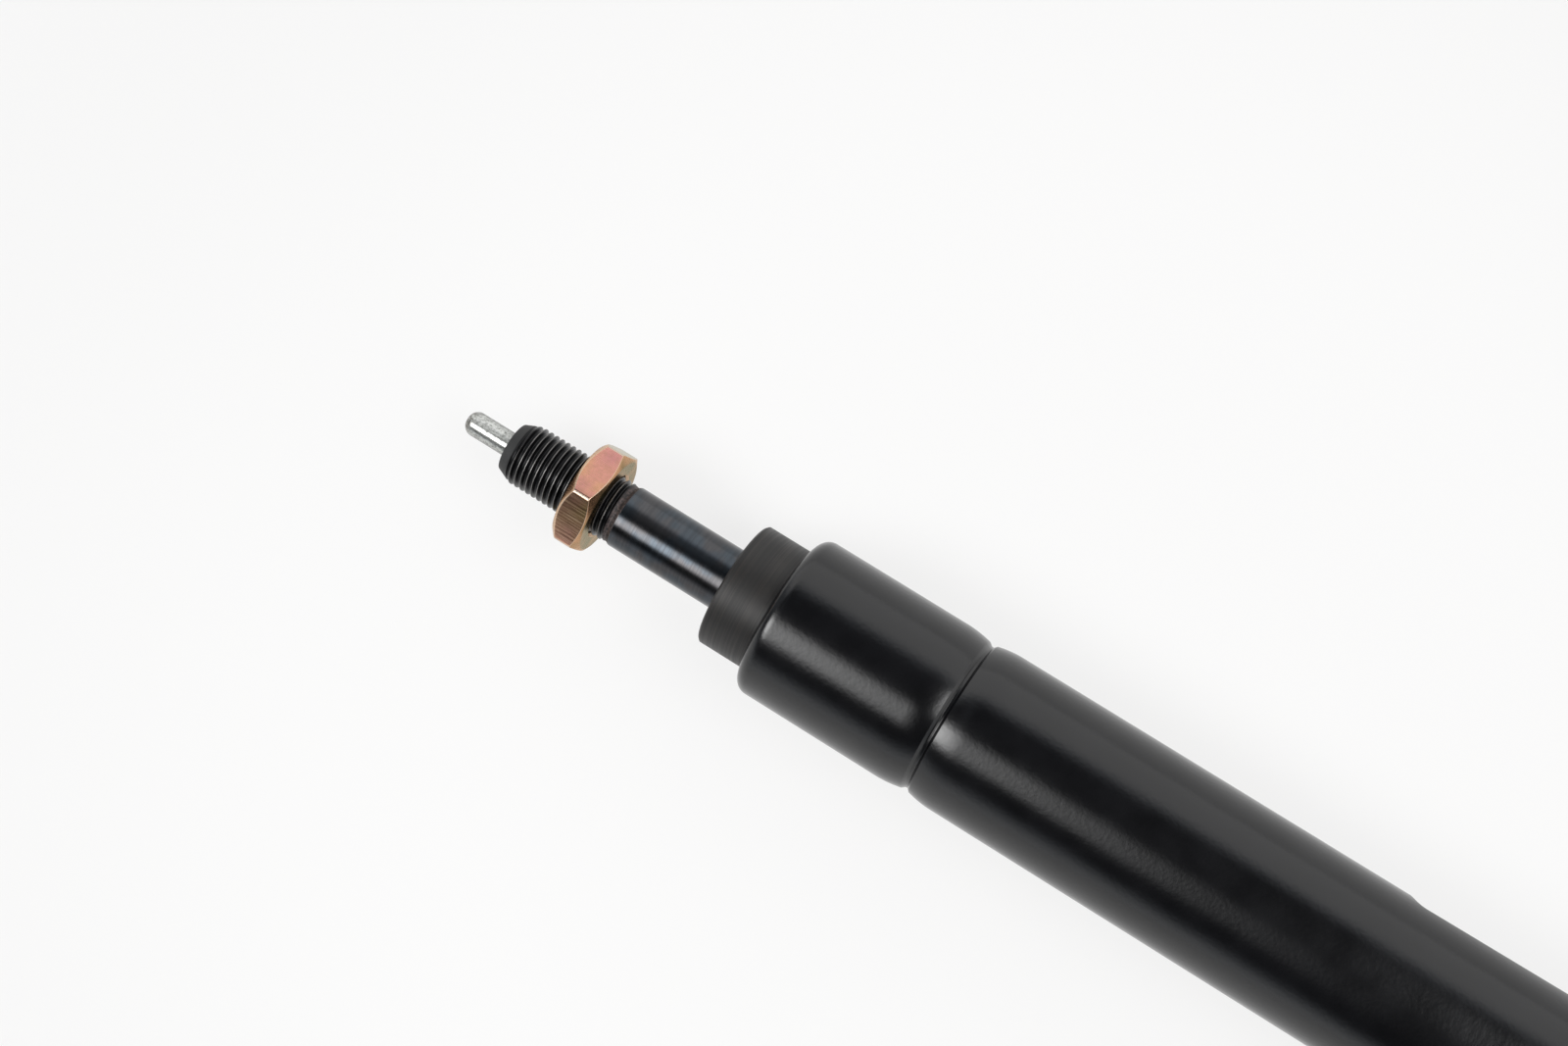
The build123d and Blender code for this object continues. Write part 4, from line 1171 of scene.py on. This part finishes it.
def studio_world(studio):
    """A pale surround under a dark ceiling, darker above head height on the soft box's side."""
    world = bpy.data.worlds.new("studio")
    world.use_nodes = True
    w = Nodes(world.node_tree)
    ahead, aside, above = w.split(w.get("ShaderNodeTexCoord", output="Generated"))

    def past(direction, start, end, *levels):
        """Ramps between two angles of a direction."""
        return w.ramp(direction, sin(radians(start)), sin(radians(end)), *levels)

    over_pin = past(ahead, 11.3, 15.6) * past(ahead, 17, 24, 1, 0) * 0.12
    open_side = w.math("MAXIMUM", past(above, 35, 58, 1, 0), over_pin)
    share = w.ramp(aside, -0.05, 0.45)
    pale = open_side * (1 - share) + past(above, 1, 31, 1, 0) * 0.75 * share
    middle = past(w.math("ABSOLUTE", aside), 13, 38, 1, 0)
    pale = pale * (1 - past(ahead, 20, 50) * middle * 0.8)
    glow = pale * (studio.surround - studio.ceiling) + studio.ceiling
    sockets = world.node_tree.nodes["Background"].inputs
    w.feed(sockets["Color"], w.mix(pale, (0.92, 0.99, 1.08), (1.0, 1.0, 1.0)))
    w.feed(sockets["Strength"], glow)
    return world


def soft_box(name, along, lean, size, fades, brightness):
    """An area light that faces the spring's axis from a lean and fades towards its edges."""
    lamp = bpy.data.lights.new(name, "AREA")
    lamp.shape = "RECTANGLE"
    lamp.size, lamp.size_y = size
    lamp.energy = brightness * pi * size[0] * size[1]
    lamp.use_nodes = True
    n = Nodes(lamp.node_tree)
    spot = n.split(n.get("ShaderNodeNewGeometry", output="Parametric"))
    window = 1.0
    for place, fade in zip(spot, fades):
        window = n.ramp(n.math("MINIMUM", place, 1 - place), 0.0, fade) * window
    n.feed(lamp.node_tree.nodes["Emission"].inputs["Strength"], window)
    back, side = Vector((0, sin(radians(lean)), cos(radians(lean)))), Vector((1, 0, 0))
    place = side * along + back * BOX_DISTANCE
    stand(bpy.data.objects.new(name, lamp), place, side, back.cross(side), back)


class GASSPRING_OT_stage(bpy.types.Operator):
    """Build the floor, the lights and the camera"""

    bl_idname = "gasspring.stage"
    bl_label = "Studio"

    def execute(self, context):
        scene = context.scene
        studio = scene.spring_studio
        bm = bmesh.new()
        bmesh.ops.create_grid(bm, x_segments=8, y_segments=8, size=FLOOR_REACH)
        bmesh.ops.translate(bm, vec=(FLOOR_MIDDLE, 0, CAD_BOX[0].z), verts=bm.verts)
        floor = finished_mesh("floor", bm)
        floor.data.materials.append(finish_for("floor"))
        scene.world = studio_world(studio)
        scene.view_settings.view_transform = "Standard"
        soft_box("key", 0.78, 24.5, (1.50, 0.68), (0.48, 0.38), studio.key)
        soft_box("rear", -0.36, -13, (0.62, 0.90), (0.43, 0.40), studio.rear)

        back = Vector((-sin(studio.tilt), 0, cos(studio.tilt)))
        along = Vector((cos(studio.tilt), 0, sin(studio.tilt)))
        across = Vector((0, -1, 0))
        right = across * sin(studio.roll) - along * cos(studio.roll)
        up = along * sin(studio.roll) + across * cos(studio.roll)
        lens = bpy.data.cameras.new("camera")
        lens.lens = studio.lens
        lens.sensor_fit = "HORIZONTAL"
        lens.sensor_width = 36
        lens.clip_start = 0.01
        scene.camera = bpy.data.objects.new("camera", lens)
        stand(scene.camera, studio.eye, right, up, back)
        return {"FINISHED"}


class GASSPRING_PT_panel(bpy.types.Panel):
    """Lists the pieces of the gas spring"""

    bl_idname = "GASSPRING_PT_panel"
    bl_label = "Gas spring"
    bl_space_type = "VIEW_3D"
    bl_region_type = "UI"
    bl_category = "Gas spring"

    def draw(self, context):
        for group in SIZE_GROUPS:
            box = self.layout.box()
            held = getattr(context.scene, group)
            for name in held.bl_rna.properties.keys():
                if name not in ("rna_type", "name"):
                    box.prop(held, name)
        for operator in OPERATORS:
            self.layout.operator(operator.bl_idname)


SIZE_GROUPS = {
    "spring_tube": SpringTubeSizes,
    "spring_rod": SpringRodSizes,
    "spring_nut": SpringNutSizes,
    "spring_eye": SpringEyeSizes,
    "spring_finishes": SpringFinishes,
    "spring_studio": SpringStudio,
}
OPERATORS = (
    GASSPRING_OT_tube,
    GASSPRING_OT_collar,
    GASSPRING_OT_rod,
    GASSPRING_OT_nut,
    GASSPRING_OT_rear_end,
    GASSPRING_OT_inner_pieces,
    GASSPRING_OT_stage,
)


def register():
    """Registers the properties, the operators and the panel."""
    for name, group in SIZE_GROUPS.items():
        bpy.utils.register_class(group)
        setattr(bpy.types.Scene, name, bpy.props.PointerProperty(type=group))
    for shown in (*OPERATORS, GASSPRING_PT_panel):
        bpy.utils.register_class(shown)


def unregister():
    """Removes what register added."""
    for shown in (GASSPRING_PT_panel, *reversed(OPERATORS)):
        bpy.utils.unregister_class(shown)
    for name, group in reversed(SIZE_GROUPS.items()):
        delattr(bpy.types.Scene, name)
        bpy.utils.unregister_class(group)


def main():
    """Builds every piece and the studio."""
    register()
    for operator in OPERATORS:
        getattr(bpy.ops.gasspring, operator.bl_idname.split(".")[1])()


if __name__ == "__main__":
    main()
